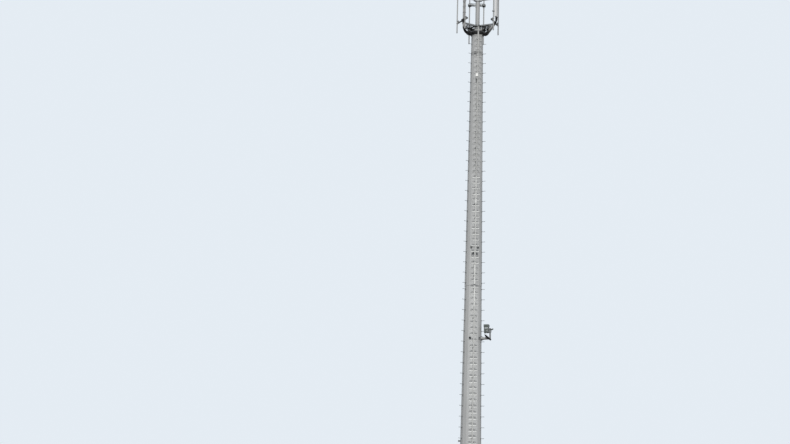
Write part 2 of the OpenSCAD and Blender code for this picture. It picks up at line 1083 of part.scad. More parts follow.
base_flange();
base_gussets();
lower_shaft();
upper_shaft();
hand_hole_frame();
hand_hole_cover();
ladder_rail_lower();
ladder_rail_upper();
ladder_rungs_lower();
ladder_rungs_upper();
ladder_brackets_lower();
ladder_brackets_upper();
rail_joints();
step_pegs_left();
step_pegs_right();
peg_bosses_left();
peg_bosses_right();
port_rings();
port_boots();
blank_plate();
earth_lug();
side_plate();
side_arm();
side_post();
post_cap();
unit_clamps();
unit_box();
unit_hood();
unit_window();
unit_conduit();
stub_lamp();
cable_boot();
top_plate();
plate_studs();
mast_base();
mast_gussets();
mast();
mast_cap();
arm_hubs();
sector_arms();
arm_plates();
sector_bars();
crossover_plates();
antenna_pipes();
pipe_caps();
tall_panel();
short_panel();
panel_brackets();
jumpers_right();
jumpers_left();
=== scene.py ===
import math

import bmesh
import bpy
from mathutils import Matrix, Vector


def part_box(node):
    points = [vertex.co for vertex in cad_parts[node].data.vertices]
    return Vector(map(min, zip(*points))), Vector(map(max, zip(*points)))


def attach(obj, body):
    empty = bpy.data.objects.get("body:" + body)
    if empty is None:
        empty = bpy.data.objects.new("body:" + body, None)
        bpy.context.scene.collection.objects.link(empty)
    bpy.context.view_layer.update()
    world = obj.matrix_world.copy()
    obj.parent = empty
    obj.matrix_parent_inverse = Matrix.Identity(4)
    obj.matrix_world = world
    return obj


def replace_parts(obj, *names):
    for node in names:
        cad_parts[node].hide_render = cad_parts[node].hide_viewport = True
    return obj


bl_info = {
    "name": "Antenna Monopole Dressing",
    "version": (1, 0, 0),
    "blender": (4, 5, 0),
    "location": "3D View > Sidebar > Monopole",
    "description": "Adds the fittings, cables, finishes and studio to a steel antenna monopole",
    "category": "Object",
}

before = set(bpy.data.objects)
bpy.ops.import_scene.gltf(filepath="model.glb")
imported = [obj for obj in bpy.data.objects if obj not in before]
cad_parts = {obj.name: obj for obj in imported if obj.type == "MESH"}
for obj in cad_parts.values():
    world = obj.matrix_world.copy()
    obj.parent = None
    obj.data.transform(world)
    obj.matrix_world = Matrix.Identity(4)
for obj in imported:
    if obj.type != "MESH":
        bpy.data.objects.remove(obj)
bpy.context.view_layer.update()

# Measures of the construction, in metres and degrees
POLE_TURN = 6.0
HEAD_TURN = 3.0
FLAT_STEP = 22.5
POLE_H = 25.34
SPLICE_Z = 12.55
BASE_W = 1.076
JOINT_W = 0.790
SPLICE_W = 0.806
TOP_W = 0.562
FLANGE_T = 0.05
ANCHORS, BOLT_CIRCLE = 32, 0.638
DOOR_Z, DOOR_RIM, DOOR_OUT, DOOR_T = 0.7, 0.04, 0.045, 0.006
LADDER_Z = 2.45
UPPER_LADDER_Z = SPLICE_Z + 0.03
LADDER_OVER = 0.18
LADDER_GAP = 0.16
RAIL_W, RAIL_D, RAIL_T = 0.06, 0.046, 0.006
RUNG_PITCH, RUNG_H, RUNG_D = 0.28, 0.024, 0.03
LOWER_BRACKET_ZS = [LADDER_Z + 0.15 + 1.4 * k for k in range(8)]
UPPER_BRACKET_ZS = [UPPER_LADDER_Z + 0.42 + 0.7 * k for k in range(18)]
JOINT_RUNGS = (11, 22, 33)
BACK_PLATE_Z, BLANK_PLATE_Z = 14.19, POLE_H - 2.36
PEG_Z, PEG_PITCH, PEG_CLEAR = 2.9, 0.5, 0.15
LOWER_PEG_ZS = [PEG_Z + PEG_PITCH * k for k in range(20)]
UPPER_PEG_ZS = [SPLICE_Z + PEG_CLEAR + PEG_PITCH * k for k in range(25)]
LUG_Z = PEG_Z + 4.75 * PEG_PITCH
PORT_OUT = 0.028
SIDE_Z = 10.06
SIDE_REACH = 0.445
SIDE_R, POST_R, CONDUIT_R, LEAD_R = 0.06, 0.038, 0.038, 0.012
UNIT_W, UNIT_D, UNIT_H, UNIT_Z, UNIT_GAP = 0.21, 0.18, 0.385, 0.26, 0.031
UNIT_IN = SIDE_REACH - POST_R - UNIT_GAP - UNIT_W
UNIT_MIDDLE, UNIT_TOP = UNIT_IN + UNIT_W / 2, UNIT_Z + UNIT_H
PLATE_T, BAR_PLATE_T = 0.025, 0.012
STUD_REACH = TOP_W / 2 + 0.037 - 0.05
MAST_BASE_Z = POLE_H + PLATE_T + 0.085
MAST_Z = MAST_BASE_Z + PLATE_T
MAST_R = 0.105
ARM_ZS = (MAST_Z + 0.215, MAST_Z + 0.215 + 1.37)
ARM_W = 0.08
HUB_R = 0.135
EAR_REACH, EAR_HALF_T = HUB_R + 0.038, 0.014
BAR_RISE, BAR_REACH, BAR_R = 0.11, 0.885, 0.038
LOW_BAR_Z = ARM_ZS[0] + BAR_RISE
PIPE_R = 0.03
OUTER_REACH = BAR_REACH + BAR_R + BAR_PLATE_T
PIPE_REACH = OUTER_REACH + PIPE_R
PIPE_X = 0.36
PIPE_Z, BACK_DROP = LOW_BAR_Z - 0.55, 0.13
PANEL_REACH = PIPE_REACH + PIPE_R + 0.06
PANEL_D = 0.12
TALL_Z, TALL_W, TALL_H = LOW_BAR_Z + 0.1, 0.29, 2.0
SHORT_Z, SHORT_W, SHORT_H = LOW_BAR_Z + 1.3, 0.26, 1.05
JUMPER_R = 0.018
SIDE_GAP, ROW_GAP, SOCKET_STEP = JUMPER_R + 0.003, JUMPER_R + 0.002, JUMPER_R + 0.008
SOCKET_REACH = PANEL_REACH + PANEL_D / 2
BUNDLE_X = PIPE_X - PIPE_R - 0.014 - JUMPER_R - SIDE_GAP
BOOT_Z, BOOT_R = POLE_H - 0.14, TOP_W / 2 + 0.057
CABLE_Z = BOOT_Z + 0.07

# Radii of what only this script adds to the cables, and the step from one feeder to the next
WRAP_R, FEEDER_R, TAIL_R, COIL_R, FEEDER_STEP = 0.0545, 0.0125, 0.0135, 0.27, 0.027

# Turns round the pole or the mast, tilts of the pole's flats, and the places of the arms
PEG_TURN = 90 - FLAT_STEP
SEAM_TURN = 5 * FLAT_STEP
LEFT, RIGHT, BACK = -60, 67, 180
SECTORS = (LEFT, RIGHT, BACK)
ARMS = [(z, turn) for z in ARM_ZS for turn in SECTORS]
SPLIT_TURN = (RIGHT - 60) / 2
CORNERS = ((1, 1), (-1, 1), (1, -1), (-1, -1))
LOWER_TILT = math.atan((BASE_W - JOINT_W) / 2 / SPLICE_Z)
UPPER_TILT = math.atan((SPLICE_W - TOP_W) / 2 / (POLE_H - SPLICE_Z))
OUTWARDS = Matrix.Rotation(math.radians(90), 4, "X")
INWARDS = Matrix.Rotation(math.radians(-90), 4, "X")

# The height of each cable port, its turn round the pole and its shift along the flat
PORTS = ((10.05, -FLAT_STEP, 0.015), (14.4, -FLAT_STEP, 0.0), (14.4, FLAT_STEP, 0.0),
         (24.2, -FLAT_STEP, 0.0))

# Middle lines of the two bundles of cables, in their sector's frame, the right one mirrored
RIGHT_LINE = (
    (0.075, -BOOT_R, CABLE_Z), (0.095, -BOOT_R - 0.12, CABLE_Z - 0.055),
    (0.15, -BOOT_R - 0.26, CABLE_Z - 0.04), (0.22, 0.225 - PIPE_REACH, CABLE_Z + 0.06),
    (0.27, 0.085 - PIPE_REACH, TALL_Z - 0.45), (BUNDLE_X, -0.02 - PIPE_REACH, TALL_Z - 0.33),
    (BUNDLE_X + 0.02, -0.095 - PIPE_REACH, TALL_Z - 0.24),
)
LEFT_LINE = (
    (0.075, -BOOT_R, CABLE_Z), (0.095, -BOOT_R - 0.12, CABLE_Z - 0.065),
    (0.15, -BOOT_R - 0.28, CABLE_Z - 0.105), (0.22, 0.165 - PIPE_REACH, CABLE_Z - 0.11),
    (0.27, 0.035 - PIPE_REACH, CABLE_Z - 0.04), (BUNDLE_X, -0.025 - PIPE_REACH, CABLE_Z + 0.12),
    (BUNDLE_X, -0.03 - PIPE_REACH, CABLE_Z + 0.32), (BUNDLE_X, -0.03 - PIPE_REACH, LOW_BAR_Z + 0.37),
    (BUNDLE_X, -0.03 - PIPE_REACH, SHORT_Z - 0.33),
)

# Widths of bolt heads and nuts across their flats, by the size of their thread
M6, M8, M10, M12, M16, M20, M30 = 0.01, 0.013, 0.017, 0.019, 0.024, 0.03, 0.046

# Darker bands, and painted highlights that stand in for sun glints on the ladder: the lower and upper
# height of each stretch and its strength
SHAFT_DARK_BANDS = ((24.09, 24.3, 0.36),)
RUNG_PAINTED_HIGHLIGHTS = ((2.0, 9.1, 1.0), (9.1, 13.3, 0.45), (13.35, 17.9, 1.0))
RAIL_PAINTED_HIGHLIGHTS = ((2.0, 11.5, 0.5), (11.5, 13.5, 1.0), (13.5, 17.9, 0.5), (16.45, 16.7, 1.0))
RAIL_DARK_BANDS = ((25.24, 25.6, 0.4), (24.08, 24.32, 0.4))
CLEAN_HUB_Z = ARM_ZS[1] - 0.3

# Faded rubber: the same for each stretch, and its side, -1 left, 1 right and 0 both
FADED_RUBBER = ((14.2, 14.6, 0.3, 0), (24.0, 24.4, 0.7, 0), (25.45, 25.6, 0.12, 0),
                (25.4, 25.6, 0.9, -1), (25.84, 27.4, 0.9, -1), (25.15, 25.6, 0.8, 1))

# Colours of dirt
SOIL = (0.23, 0.2, 0.165, 1.0)
DUST = (0.16, 0.155, 0.145, 1.0)
GREY_BLOOM = (0.38, 0.385, 0.385, 1.0)
RUST = (0.21, 0.12, 0.07, 1.0)

# The studio's floor, its lamp's height, turn and spread in degrees, and the lights' colours
FLOOR_R, FLOOR_Z = 900.0, -0.003
LAMP_HEIGHT, LAMP_TURN, LAMP_SPREAD = 46, 1, 18
LAMP_COLOUR, SKY_COLOUR = (1.0, 0.985, 0.96), (0.97, 0.985, 1.0, 1.0)


def pole_width(z):
    """Width of the pole across its flats at height z."""
    if z < SPLICE_Z:
        return BASE_W + (JOINT_W - BASE_W) * z / SPLICE_Z
    return SPLICE_W + (TOP_W - SPLICE_W) * (z - SPLICE_Z) / (POLE_H - SPLICE_Z)


def turned(degrees):
    """A turn round the Z axis."""
    return Matrix.Rotation(math.radians(degrees), 4, "Z")


def shift(x=0.0, y=0.0, z=0.0):
    """A move along the axes."""
    return Matrix.Translation((x, y, z))


def on_flat(z, turn=0.0):
    """The place on the pole's flat at height z, with -Y pointing away from the pole."""
    tilt = LOWER_TILT if z < SPLICE_Z else UPPER_TILT
    return (turned(POLE_TURN + turn) @ shift(0, -pole_width(z) / 2, z)
            @ Matrix.Rotation(-tilt, 4, "X"))


def sector(turn):
    """The frame of a sector of the head, whose arm points along -Y."""
    return turned(HEAD_TURN + turn)


# Mesh tools

def drum(bm, place, radius, length, sides=16, tip=None):
    """A drum along the place's Z axis; tip is its far radius."""
    return bmesh.ops.create_cone(
        bm, cap_ends=True, segments=sides, radius1=radius,
        radius2=radius if tip is None else tip, depth=length,
        matrix=place @ shift(z=length / 2))["verts"]


def slab(bm, place, size, edge=0.0):
    """A slab round the place's centre, with its edges eased by edge."""
    corners = bmesh.ops.create_cube(
        bm, size=1.0, matrix=place @ Matrix.Diagonal((*size, 1.0)))["verts"]
    if edge:
        edges = list({e for v in corners for e in v.link_edges})
        bmesh.ops.bevel(bm, geom=edges, offset=edge, segments=2, profile=0.5,
                        affect="EDGES", material=-1)


def ring(bm, place, section, steps=24, start=0.0):
    """A closed ring round the place's Z axis, from its section's (radius, height) points."""
    turn = place @ turned(start)
    corners = [bm.verts.new(turn @ Vector((r, 0.0, z))) for r, z in section]
    loop = [bm.edges.new((a, b)) for a, b in zip(corners, corners[1:] + corners[:1])]
    axis = place.to_3x3() @ Vector((0.0, 0.0, 1.0))
    before = set(bm.faces)
    bmesh.ops.spin(bm, geom=corners + loop, cent=place.translation, axis=axis,
                   angle=math.tau, steps=steps, use_merge=True)
    bmesh.ops.recalc_face_normals(bm, faces=[f for f in bm.faces if f not in before])


def band(bm, place, radius, thick, height, steps=24):
    """A flat band round the place's Z axis."""
    ring(bm, place, [(radius, 0.0), (radius + thick, 0.0),
                     (radius + thick, height), (radius, height)], steps)


def fillet(bm, place, radius, leg, steps=24, start=0.0):
    """A weld fillet of a triangular section, in the corner round a drum of that radius."""
    ring(bm, place, [(radius - 0.001, -0.0005), (radius + leg, -0.0005),
                     (radius + leg * 0.45, leg * 0.45), (radius - 0.001, leg)], steps, start)


def stamp(bm, draw, places):
    """Draws a mesh once and adds it at every place."""
    drawn = bmesh.new()
    draw(drawn)
    mesh = bpy.data.meshes.new("stamp")
    drawn.to_mesh(mesh)
    drawn.free()
    for place in places:
        moved = mesh.copy()
        moved.transform(place)
        bm.from_mesh(moved)
        bpy.data.meshes.remove(moved)
    bpy.data.meshes.remove(mesh)


def hex_nut(bm, place, across, height):
    """A six-sided nut with eased corners on its outer end."""
    radius = across / math.sqrt(3)
    drum(bm, place, radius, height * 0.85, 6)
    drum(bm, place @ shift(z=height * 0.85), radius, height * 0.15, 6, radius * 0.86)


def bolt(bm, place, across, stem=0.0):
    """A bolt head or nut on its washer, along the place's Z axis."""
    drum(bm, place, across * 0.95, across * 0.12, 12)
    hex_nut(bm, place @ shift(z=across * 0.12), across, across * 0.55)
    if stem:
        drum(bm, place @ shift(z=across * 0.67), across * 0.32, stem, 8)


def bolt_rows(bm, place, columns, depth, rows, across, stem=0.0, way=OUTWARDS):
    """Bolts on a plane at that depth of the place, one for each column and row."""
    for x in columns:
        for z in rows:
            bolt(bm, place @ shift(x, depth, z) @ way, across, stem)


def u_bolt(bm, place, radius, rod, leg):
    """A U-bolt round the place's Z axis, whose legs point along its +X axis."""
    middle = place @ shift(0, radius, 0) @ Matrix.Rotation(math.radians(90), 4, "Y")
    corners = bmesh.ops.create_circle(bm, cap_ends=False, segments=8, radius=rod,
                                      matrix=middle)["verts"]
    edges = list({e for v in corners for e in v.link_edges})
    axis = place.to_3x3() @ Vector((0.0, 0.0, 1.0))
    before = set(bm.faces)
    made = bmesh.ops.spin(bm, geom=corners + edges, cent=place.translation, axis=axis,
                          angle=math.pi, steps=8)["geom_last"]
    ends = [edges, [g for g in made if isinstance(g, bmesh.types.BMEdge)]]
    along = place.to_3x3() @ Vector((leg, 0.0, 0.0))
    for end in ends:
        pulled = bmesh.ops.extrude_edge_only(bm, edges=end)["geom"]
        moved = [g for g in pulled if isinstance(g, bmesh.types.BMVert)]
        bmesh.ops.translate(bm, vec=along, verts=moved)
        bmesh.ops.contextual_create(
            bm, geom=[g for g in pulled if isinstance(g, bmesh.types.BMEdge)
                      and all(v in moved for v in g.verts)])
    bmesh.ops.recalc_face_normals(bm, faces=[f for f in bm.faces if f not in before])


def piece(name, bm, finish, crease=35):
    """Makes the finished mesh a piece that rides on the mast."""
    mesh = bpy.data.meshes.new(name)
    bm.to_mesh(mesh)
    bm.free()
    mesh.shade_smooth()
    mesh.set_sharp_from_angle(angle=math.radians(crease))
    mesh.materials.append(bpy.data.materials[finish])
    made = bpy.data.objects.new(name, mesh)
    bpy.context.scene.collection.objects.link(made)
    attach(made, "root")
    return made


def placed(place, points):
    """Points of a place's own frame, in the frame of the mast."""
    return [place @ Vector(point) for point in points]


def facing(way, side="Y"):
    """A turn that points the Z axis along way."""
    return way.to_track_quat("Z", side).to_matrix().to_4x4()


def smooth_route(points, steps=8):
    """Points along the smooth curve through the given ones."""
    last = len(points) - 1
    route = []
    for i in range(last):
        a, b = points[max(i - 1, 0)], points[i]
        c, d = points[i + 1], points[min(i + 2, last)]
        for k in range(steps):
            t = k / steps
            route.append(b + 0.5 * ((c - a) * t + (2 * a - 5 * b + 4 * c - d) * t * t
                                    + (3 * b - a - 3 * c + d) * t ** 3))
    return route + [points[last]]


def cable_mesh(routes, radius, girth=None):
    """Round cables along the routes, whose radius the girth scales at each point."""
    curve = bpy.data.curves.new("cable_route", "CURVE")
    curve.dimensions = "3D"
    curve.bevel_depth = radius
    curve.bevel_resolution = 4
    curve.use_fill_caps = True
    for points in routes:
        spline = curve.splines.new("POLY")
        spline.points.add(len(points) - 1)
        for spot, point, scale in zip(spline.points, points, girth or [1.0] * len(points)):
            spot.co = (*point, 1.0)
            spot.radius = scale
    helper = bpy.data.objects.new("cable_route", curve)
    bpy.context.scene.collection.objects.link(helper)
    depsgraph = bpy.context.evaluated_depsgraph_get()
    tube = bpy.data.meshes.new_from_object(helper.evaluated_get(depsgraph))
    bpy.data.objects.remove(helper)
    bpy.data.curves.remove(curve)
    bm = bmesh.new()
    bm.from_mesh(tube)
    bpy.data.meshes.remove(tube)
    bmesh.ops.remove_doubles(bm, verts=bm.verts, dist=1e-6)
    bmesh.ops.recalc_face_normals(bm, faces=bm.faces)
    return bm


# Shader tools

class Amount:
    """A number in a shader, which arithmetic adds Math nodes to."""

    def __init__(self, graph, socket):
        self.graph = graph
        self.socket = socket

    def _join(self, operation, first, second):
        node = self.graph.node("ShaderNodeMath", {"operation": operation}, {0: first, 1: second})
        return Amount(self.graph, node.outputs[0])

    def __add__(self, other):
        return self._join("ADD", self, other)

    def __radd__(self, other):
        return self._join("ADD", other, self)

    def __sub__(self, other):
        return self._join("SUBTRACT", self, other)

    def __rsub__(self, other):
        return self._join("SUBTRACT", other, self)

    def __mul__(self, other):
        return self._join("MULTIPLY", self, other)

    def __rmul__(self, other):
        return self._join("MULTIPLY", other, self)

    def highest(self, other):
        return self._join("MAXIMUM", self, other)


class Graph:
    """The nodes of a material or of the world."""

    def __init__(self, tree):
        self.nodes = tree.nodes
        self.links = tree.links

    def node(self, kind, settings=None, inputs=None):
        """A node of that kind, with its settings first and then its sockets."""
        made = self.nodes.new(kind)
        for setting, choice in (settings or {}).items():
            setattr(made, setting, choice)
        for key, value in (inputs or {}).items():
            source = value.socket if isinstance(value, Amount) else value
            if isinstance(source, bpy.types.NodeSocket):
                self.links.new(source, made.inputs[key])
            else:
                made.inputs[key].default_value = source
        return made

    def seen_rays(self):
        """1 for the rays that look at a thing, 0 for those that take its light to the mast."""
        rays = self.node("ShaderNodeLightPath").outputs
        look, gloss, through = (Amount(self, rays[f"Is {kind} Ray"])
                                for kind in ("Camera", "Glossy", "Transmission"))
        return look.highest(gloss).highest(through)


class Paint(Graph):
    """A procedural finish, built from nodes on Object coordinates."""

    def __init__(self, name, constants):
        self.material = bpy.data.materials.new(name)
        self.material.use_nodes = True
        super().__init__(self.material.node_tree)
        self.shader = self.nodes["Principled BSDF"]
        for socket, number in constants.items():
            self.shader.inputs[socket].default_value = number
        self.place = self.node("ShaderNodeTexCoord").outputs["Object"]
        axes = self.node("ShaderNodeSeparateXYZ", inputs={0: self.place})
        self.across = Amount(self, axes.outputs["X"])
        self.height = Amount(self, axes.outputs["Z"])

    def noise(self, stretch, detail=3.0, rough=0.55):
        """Soft noise, with its own scale along each axis."""
        spread = self.node("ShaderNodeMapping", {"vector_type": "POINT"},
                           {"Vector": self.place, "Scale": stretch})
        made = self.node("ShaderNodeTexNoise", {"noise_dimensions": "3D"},
                         {"Vector": spread.outputs[0], "Scale": 1.0,
                          "Detail": detail, "Roughness": rough})
        return Amount(self, made.outputs[0])

    def crystals(self, scale):
        """A different number for each crystal of the zinc."""
        made = self.node("ShaderNodeTexVoronoi", {"feature": "F1"},
                         {"Vector": self.place, "Scale": scale})
        parts = self.node("ShaderNodeSeparateColor", inputs={0: made.outputs["Color"]})
        return Amount(self, parts.outputs[0])

    def between(self, value, low, high, start=0.0, end=1.0):
        """Rises smoothly from start to end while value goes from low to high."""
        made = self.node("ShaderNodeMapRange", {"interpolation_type": "SMOOTHSTEP"},
                         {"Value": value, "From Min": low, "From Max": high,
                          "To Min": start, "To Max": end})
        return Amount(self, made.outputs[0])

    def window(self, value, low, high, soft):
        """1 where value lies between low and high, with soft ends."""
        return (self.between(value, low - soft, low + soft)
                * self.between(value, high - soft, high + soft, 1.0, 0.0))

    def mix(self, factor, first, second):
        """The second colour over the first, by factor; 6 and 7 are the node's colour sockets."""
        made = self.node("ShaderNodeMix", {"data_type": "RGBA"}, {0: factor, 6: first, 7: second})
        return made.outputs[2]

    def bump(self, height, strength, distance):
        """A normal that raises the surface by height."""
        made = self.node("ShaderNodeBump",
                         inputs={"Strength": strength, "Distance": distance, "Height": height})
        return made.outputs[0]

    def finish(self, colour, rough=None, normal=None):
        """Links the colour, and the roughness and normal where they vary, to the shader."""
        wanted = {"Base Color": colour, "Roughness": rough, "Normal": normal}
        for socket, value in wanted.items():
            if value is not None:
                source = value.socket if isinstance(value, Amount) else value
                self.links.new(source, self.shader.inputs[socket])


def shade(colour, factor):
    """The colour made lighter or darker."""
    return (*(min(c * factor, 1.0) for c in colour), 1.0)


def zinc_finish(name, colour, constants, grime=0.25, foot=False, dark_bands=(), pale_hub_and_painted_highlight=None):
    """Hot-dip zinc: crystals, patches, chalky runs and dull dirt, with darker bands over stretches of
    height.

    Near the foot it is splashed with soil. A painted highlight makes the front of the lower section paler,
    and round the mast above the height pale_hub_and_painted_highlight it is paler too.
    """
    paint = Paint(name, constants)
    patches = paint.noise((1.3, 1.3, 0.45), 4.0)
    runs = paint.noise((13.0, 13.0, 0.3), 3.0)
    fine = paint.noise((40.0, 40.0, 24.0), 4.0, 0.65)
    crystal = paint.crystals(34.0)
    base = paint.mix(paint.between(patches, 0.3, 0.7), shade(colour, 0.9), shade(colour, 1.06))
    base = paint.mix(crystal * 0.16, base, shade(colour, 1.28))
    base = paint.mix(paint.between(runs, 0.56, 0.8) * 0.45, base, shade(colour, 1.2))
    base = paint.mix(paint.between(runs, 0.44, 0.22) * grime, base, shade(colour, 0.62))
    base = paint.mix(paint.between(fine, 0.55, 0.8) * 0.2, base, shade(colour, 0.7))
    for low, high, strength in dark_bands:
        dark_band = paint.window(paint.height + patches * 0.03, low, high, 0.03)
        base = paint.mix(dark_band * strength, base, shade(colour, 0.3))
    if foot:
        # Painted highlight: a paler strip down the front of the lower section stands in for light on it
        aside = paint.across - 0.09
        front_highlight = paint.between(aside * aside, 0.004, 0.09, 0.3, 0.0)
        base = paint.mix(front_highlight * paint.window(paint.height, -1.0, 12.2, 0.5),
                         base, shade(colour, 1.4))
        splash = paint.between(paint.height + patches * 0.5, 0.2, 0.75, 0.5, 0.0)
        base = paint.mix(splash, base, SOIL)
    if pale_hub_and_painted_highlight:
        middle = paint.between(paint.across * paint.across, 0.04, 0.06, 1.0, 0.0)
        base = paint.mix(middle * paint.between(paint.height, pale_hub_and_painted_highlight - 0.03, pale_hub_and_painted_highlight + 0.03),
                         base, shade(colour, 2.4))
    rough = paint.between(patches + fine * 0.3, 0.35, 0.95, 0.52, 0.72) - crystal * 0.08
    paint.finish(base, rough, paint.bump(fine * 0.6 + crystal * 0.4, 0.12, 0.002))


def ladder_finish(name, colour, constants, painted_highlights, dark_bands=()):
    """Ladder zinc: painted highlights over stretches of height, darker bands over others, dull elsewhere.
    """
    paint = Paint(name, constants)
    patches = paint.noise((5.0, 5.0, 1.2), 4.0)
    fine = paint.noise((60.0, 60.0, 30.0), 3.0)
    pale_hub_and_painted_highlight = None
    # The listed stretches are painted highlights, which stand in for sun glints and light on the ladder;
    # elsewhere it stays dull
    for low, high, strength in painted_highlights:
        stretch = paint.window(paint.height, low, high, 0.08) * strength
        pale_hub_and_painted_highlight = stretch if pale_hub_and_painted_highlight is None else pale_hub_and_painted_highlight.highest(stretch)
    base = paint.mix(pale_hub_and_painted_highlight, shade(colour, 0.52), shade(colour, 1.0))
    for low, high, strength in dark_bands:
        dark_band = paint.window(paint.height, low, high, 0.04)
        base = paint.mix(dark_band * strength, base, shade(colour, 0.16))
    base = paint.mix(paint.between(patches, 0.4, 0.75) * 0.35, base, shade(colour, 0.7))
    base = paint.mix(paint.between(fine, 0.55, 0.85) * 0.25, base, shade(colour, 1.15))
    rough = paint.between(fine, 0.2, 0.9, 0.36, 0.55)
    paint.finish(base, rough, paint.bump(fine, 0.1, 0.001))


def rubber_finish(name, colour, constants, faded):
    """Black rubber with a grey bloom and dust, faded over stretches of height on one or both sides."""
    paint = Paint(name, constants)
    bloom = paint.noise((9.0, 9.0, 5.0), 4.0)
    fine = paint.noise((120.0, 120.0, 120.0), 2.0)
    base = paint.mix(paint.between(bloom, 0.45, 0.8) * 0.5, shade(colour, 1.0), shade(colour, 2.4))
    base = paint.mix(paint.between(fine, 0.6, 0.9) * 0.12, base, DUST)
    for low, high, strength, side in faded:
        stretch = paint.window(paint.height + bloom * 0.1, low, high, 0.06) * strength
        if side:
            stretch = stretch * paint.between(paint.across * side, 0.52, 0.6)
        base = paint.mix(stretch, base, GREY_BLOOM)
    rough = paint.between(bloom, 0.3, 0.8, 0.48, 0.72)
    paint.finish(base, rough, paint.bump(fine, 0.15, 0.0006))


def shell_finish(name, colour, constants):
    """Moulded shell of an antenna, with rain runs and a fine moulded grain."""
    paint = Paint(name, constants)
    patches = paint.noise((2.2, 2.2, 0.9), 3.0)
    runs = paint.noise((30.0, 30.0, 0.7), 3.0)
    grain = paint.noise((260.0, 260.0, 260.0), 2.0)
    base = paint.mix(paint.between(patches, 0.3, 0.75), shade(colour, 1.0), shade(colour, 0.93))
    base = paint.mix(paint.between(runs, 0.58, 0.82) * 0.4, base, shade(colour, 0.74))
    rough = paint.between(patches, 0.2, 0.8, 0.4, 0.55)
    paint.finish(base, rough, paint.bump(grain, 0.08, 0.0004))


def paint_finish(name, colour, constants):
    """Weathered powder paint with orange peel, chalking and rubbed spots."""
    paint = Paint(name, constants)
    chalk = paint.noise((7.0, 7.0, 3.0), 4.0)
    peel = paint.noise((300.0, 300.0, 300.0), 1.5)
    specks = paint.noise((55.0, 55.0, 55.0), 3.0)
    base = paint.mix(paint.between(chalk, 0.35, 0.75) * 0.5, shade(colour, 1.0), shade(colour, 1.4))
    base = paint.mix(paint.between(specks, 0.68, 0.82) * 0.5, base, shade(colour, 2.2))
    rough = paint.between(chalk, 0.3, 0.8, 0.38, 0.58)
    paint.finish(base, rough, paint.bump(peel, 0.1, 0.0005))


def fastener_finish(name, colour, constants):
    """Bolts and nuts: bright zinc that has dulled, with rust in places."""
    paint = Paint(name, constants)
    patches = paint.noise((22.0, 22.0, 22.0), 3.0)
    fine = paint.noise((150.0, 150.0, 150.0), 3.0)
    base = paint.mix(paint.between(patches, 0.35, 0.7), shade(colour, 0.75), shade(colour, 1.1))
    base = paint.mix(paint.between(fine, 0.62, 0.8) * 0.5, base, RUST)
    rough = paint.between(fine, 0.3, 0.8, 0.34, 0.6)
    paint.finish(base, rough, paint.bump(fine, 0.1, 0.0005))


def glass_finish(name, colour, constants):
    """A clear pane with dust on it."""
    paint = Paint(name, constants)
    dust = paint.noise((40.0, 40.0, 12.0), 4.0)
    base = paint.mix(paint.between(dust, 0.4, 0.8) * 0.5, shade(colour, 1.0), shade(colour, 0.7))
    rough = paint.between(dust, 0.35, 0.8, 0.12, 0.4)
    paint.finish(base, rough)


class MonopoleColours(bpy.types.PropertyGroup):
    """Colours of the mast's finishes."""

    shaft: bpy.props.FloatVectorProperty(
        name="Shaft zinc", description="Colour of the pole's weathered zinc",
        default=(0.44, 0.45, 0.455), min=0.0, max=1.0, size=3, subtype="COLOR")
    dark_steel: bpy.props.FloatVectorProperty(
        name="Dark zinc", description="Colour of the arms, bars, plates and pegs",
        default=(0.2, 0.21, 0.215), min=0.0, max=1.0, size=3, subtype="COLOR")
    # Ladder zinc is the colour the ladder reaches along its painted highlights; elsewhere it is about half
    # as light
    ladder: bpy.props.FloatVectorProperty(
        name="Ladder zinc", description="Colour of the ladder where it is rubbed bright",
        default=(0.66, 0.67, 0.66), min=0.0, max=1.0, size=3, subtype="COLOR")
    rubber: bpy.props.FloatVectorProperty(
        name="Black rubber", description="Colour of the cables, boots and caps",
        default=(0.012, 0.012, 0.013), min=0.0, max=1.0, size=3, subtype="COLOR")
    shell: bpy.props.FloatVectorProperty(
        name="Antenna shell", description="Colour of the antennas' moulded shells",
        default=(0.66, 0.67, 0.68), min=0.0, max=1.0, size=3, subtype="COLOR")
    unit: bpy.props.FloatVectorProperty(
        name="Equipment paint", description="Colour of the equipment box and its hood",
        default=(0.085, 0.1, 0.095), min=0.0, max=1.0, size=3, subtype="COLOR")
    plate: bpy.props.FloatVectorProperty(
        name="Pale plate", description="Colour of the blank plate",
        default=(0.82, 0.83, 0.82), min=0.0, max=1.0, size=3, subtype="COLOR")
    fastener: bpy.props.FloatVectorProperty(
        name="Fasteners", description="Colour of the bolts, nuts and U-bolts",
        default=(0.36, 0.365, 0.37), min=0.0, max=1.0, size=3, subtype="COLOR")
    pane: bpy.props.FloatVectorProperty(
        name="Window pane", description="Colour of the box's window and the lamp's glass",
        default=(0.37, 0.4, 0.41), min=0.0, max=1.0, size=3, subtype="COLOR")


class MonopoleSizes(bpy.types.PropertyGroup):
    """Sizes of the small fittings."""

    anchor_nut: bpy.props.FloatProperty(
        name="Anchor nut", description="Width of an anchor nut across its flats",
        default=0.055, min=0.03, max=0.065, unit="LENGTH")
    small_bolt: bpy.props.FloatProperty(
        name="Small bolt", description="Width of a small bolt head across its flats",
        default=0.019, min=0.01, max=0.022, unit="LENGTH")
    u_rod: bpy.props.FloatProperty(
        name="U-bolt rod", description="Radius of a U-bolt's rod",
        default=0.006, min=0.004, max=0.008, unit="LENGTH")
    weld: bpy.props.FloatProperty(
        name="Weld", description="Leg of a weld fillet on the arms and the mast",
        default=0.009, min=0.004, max=0.014, unit="LENGTH")
    tread: bpy.props.FloatProperty(
        name="Tread rib", description="Height of the ribs on a rung",
        default=0.004, min=0.002, max=0.006, unit="LENGTH")
    conduit_rib: bpy.props.FloatProperty(
        name="Sleeve rib", description="Distance between the ribs of the box's cable sleeve",
        default=0.011, min=0.008, max=0.02, unit="LENGTH")


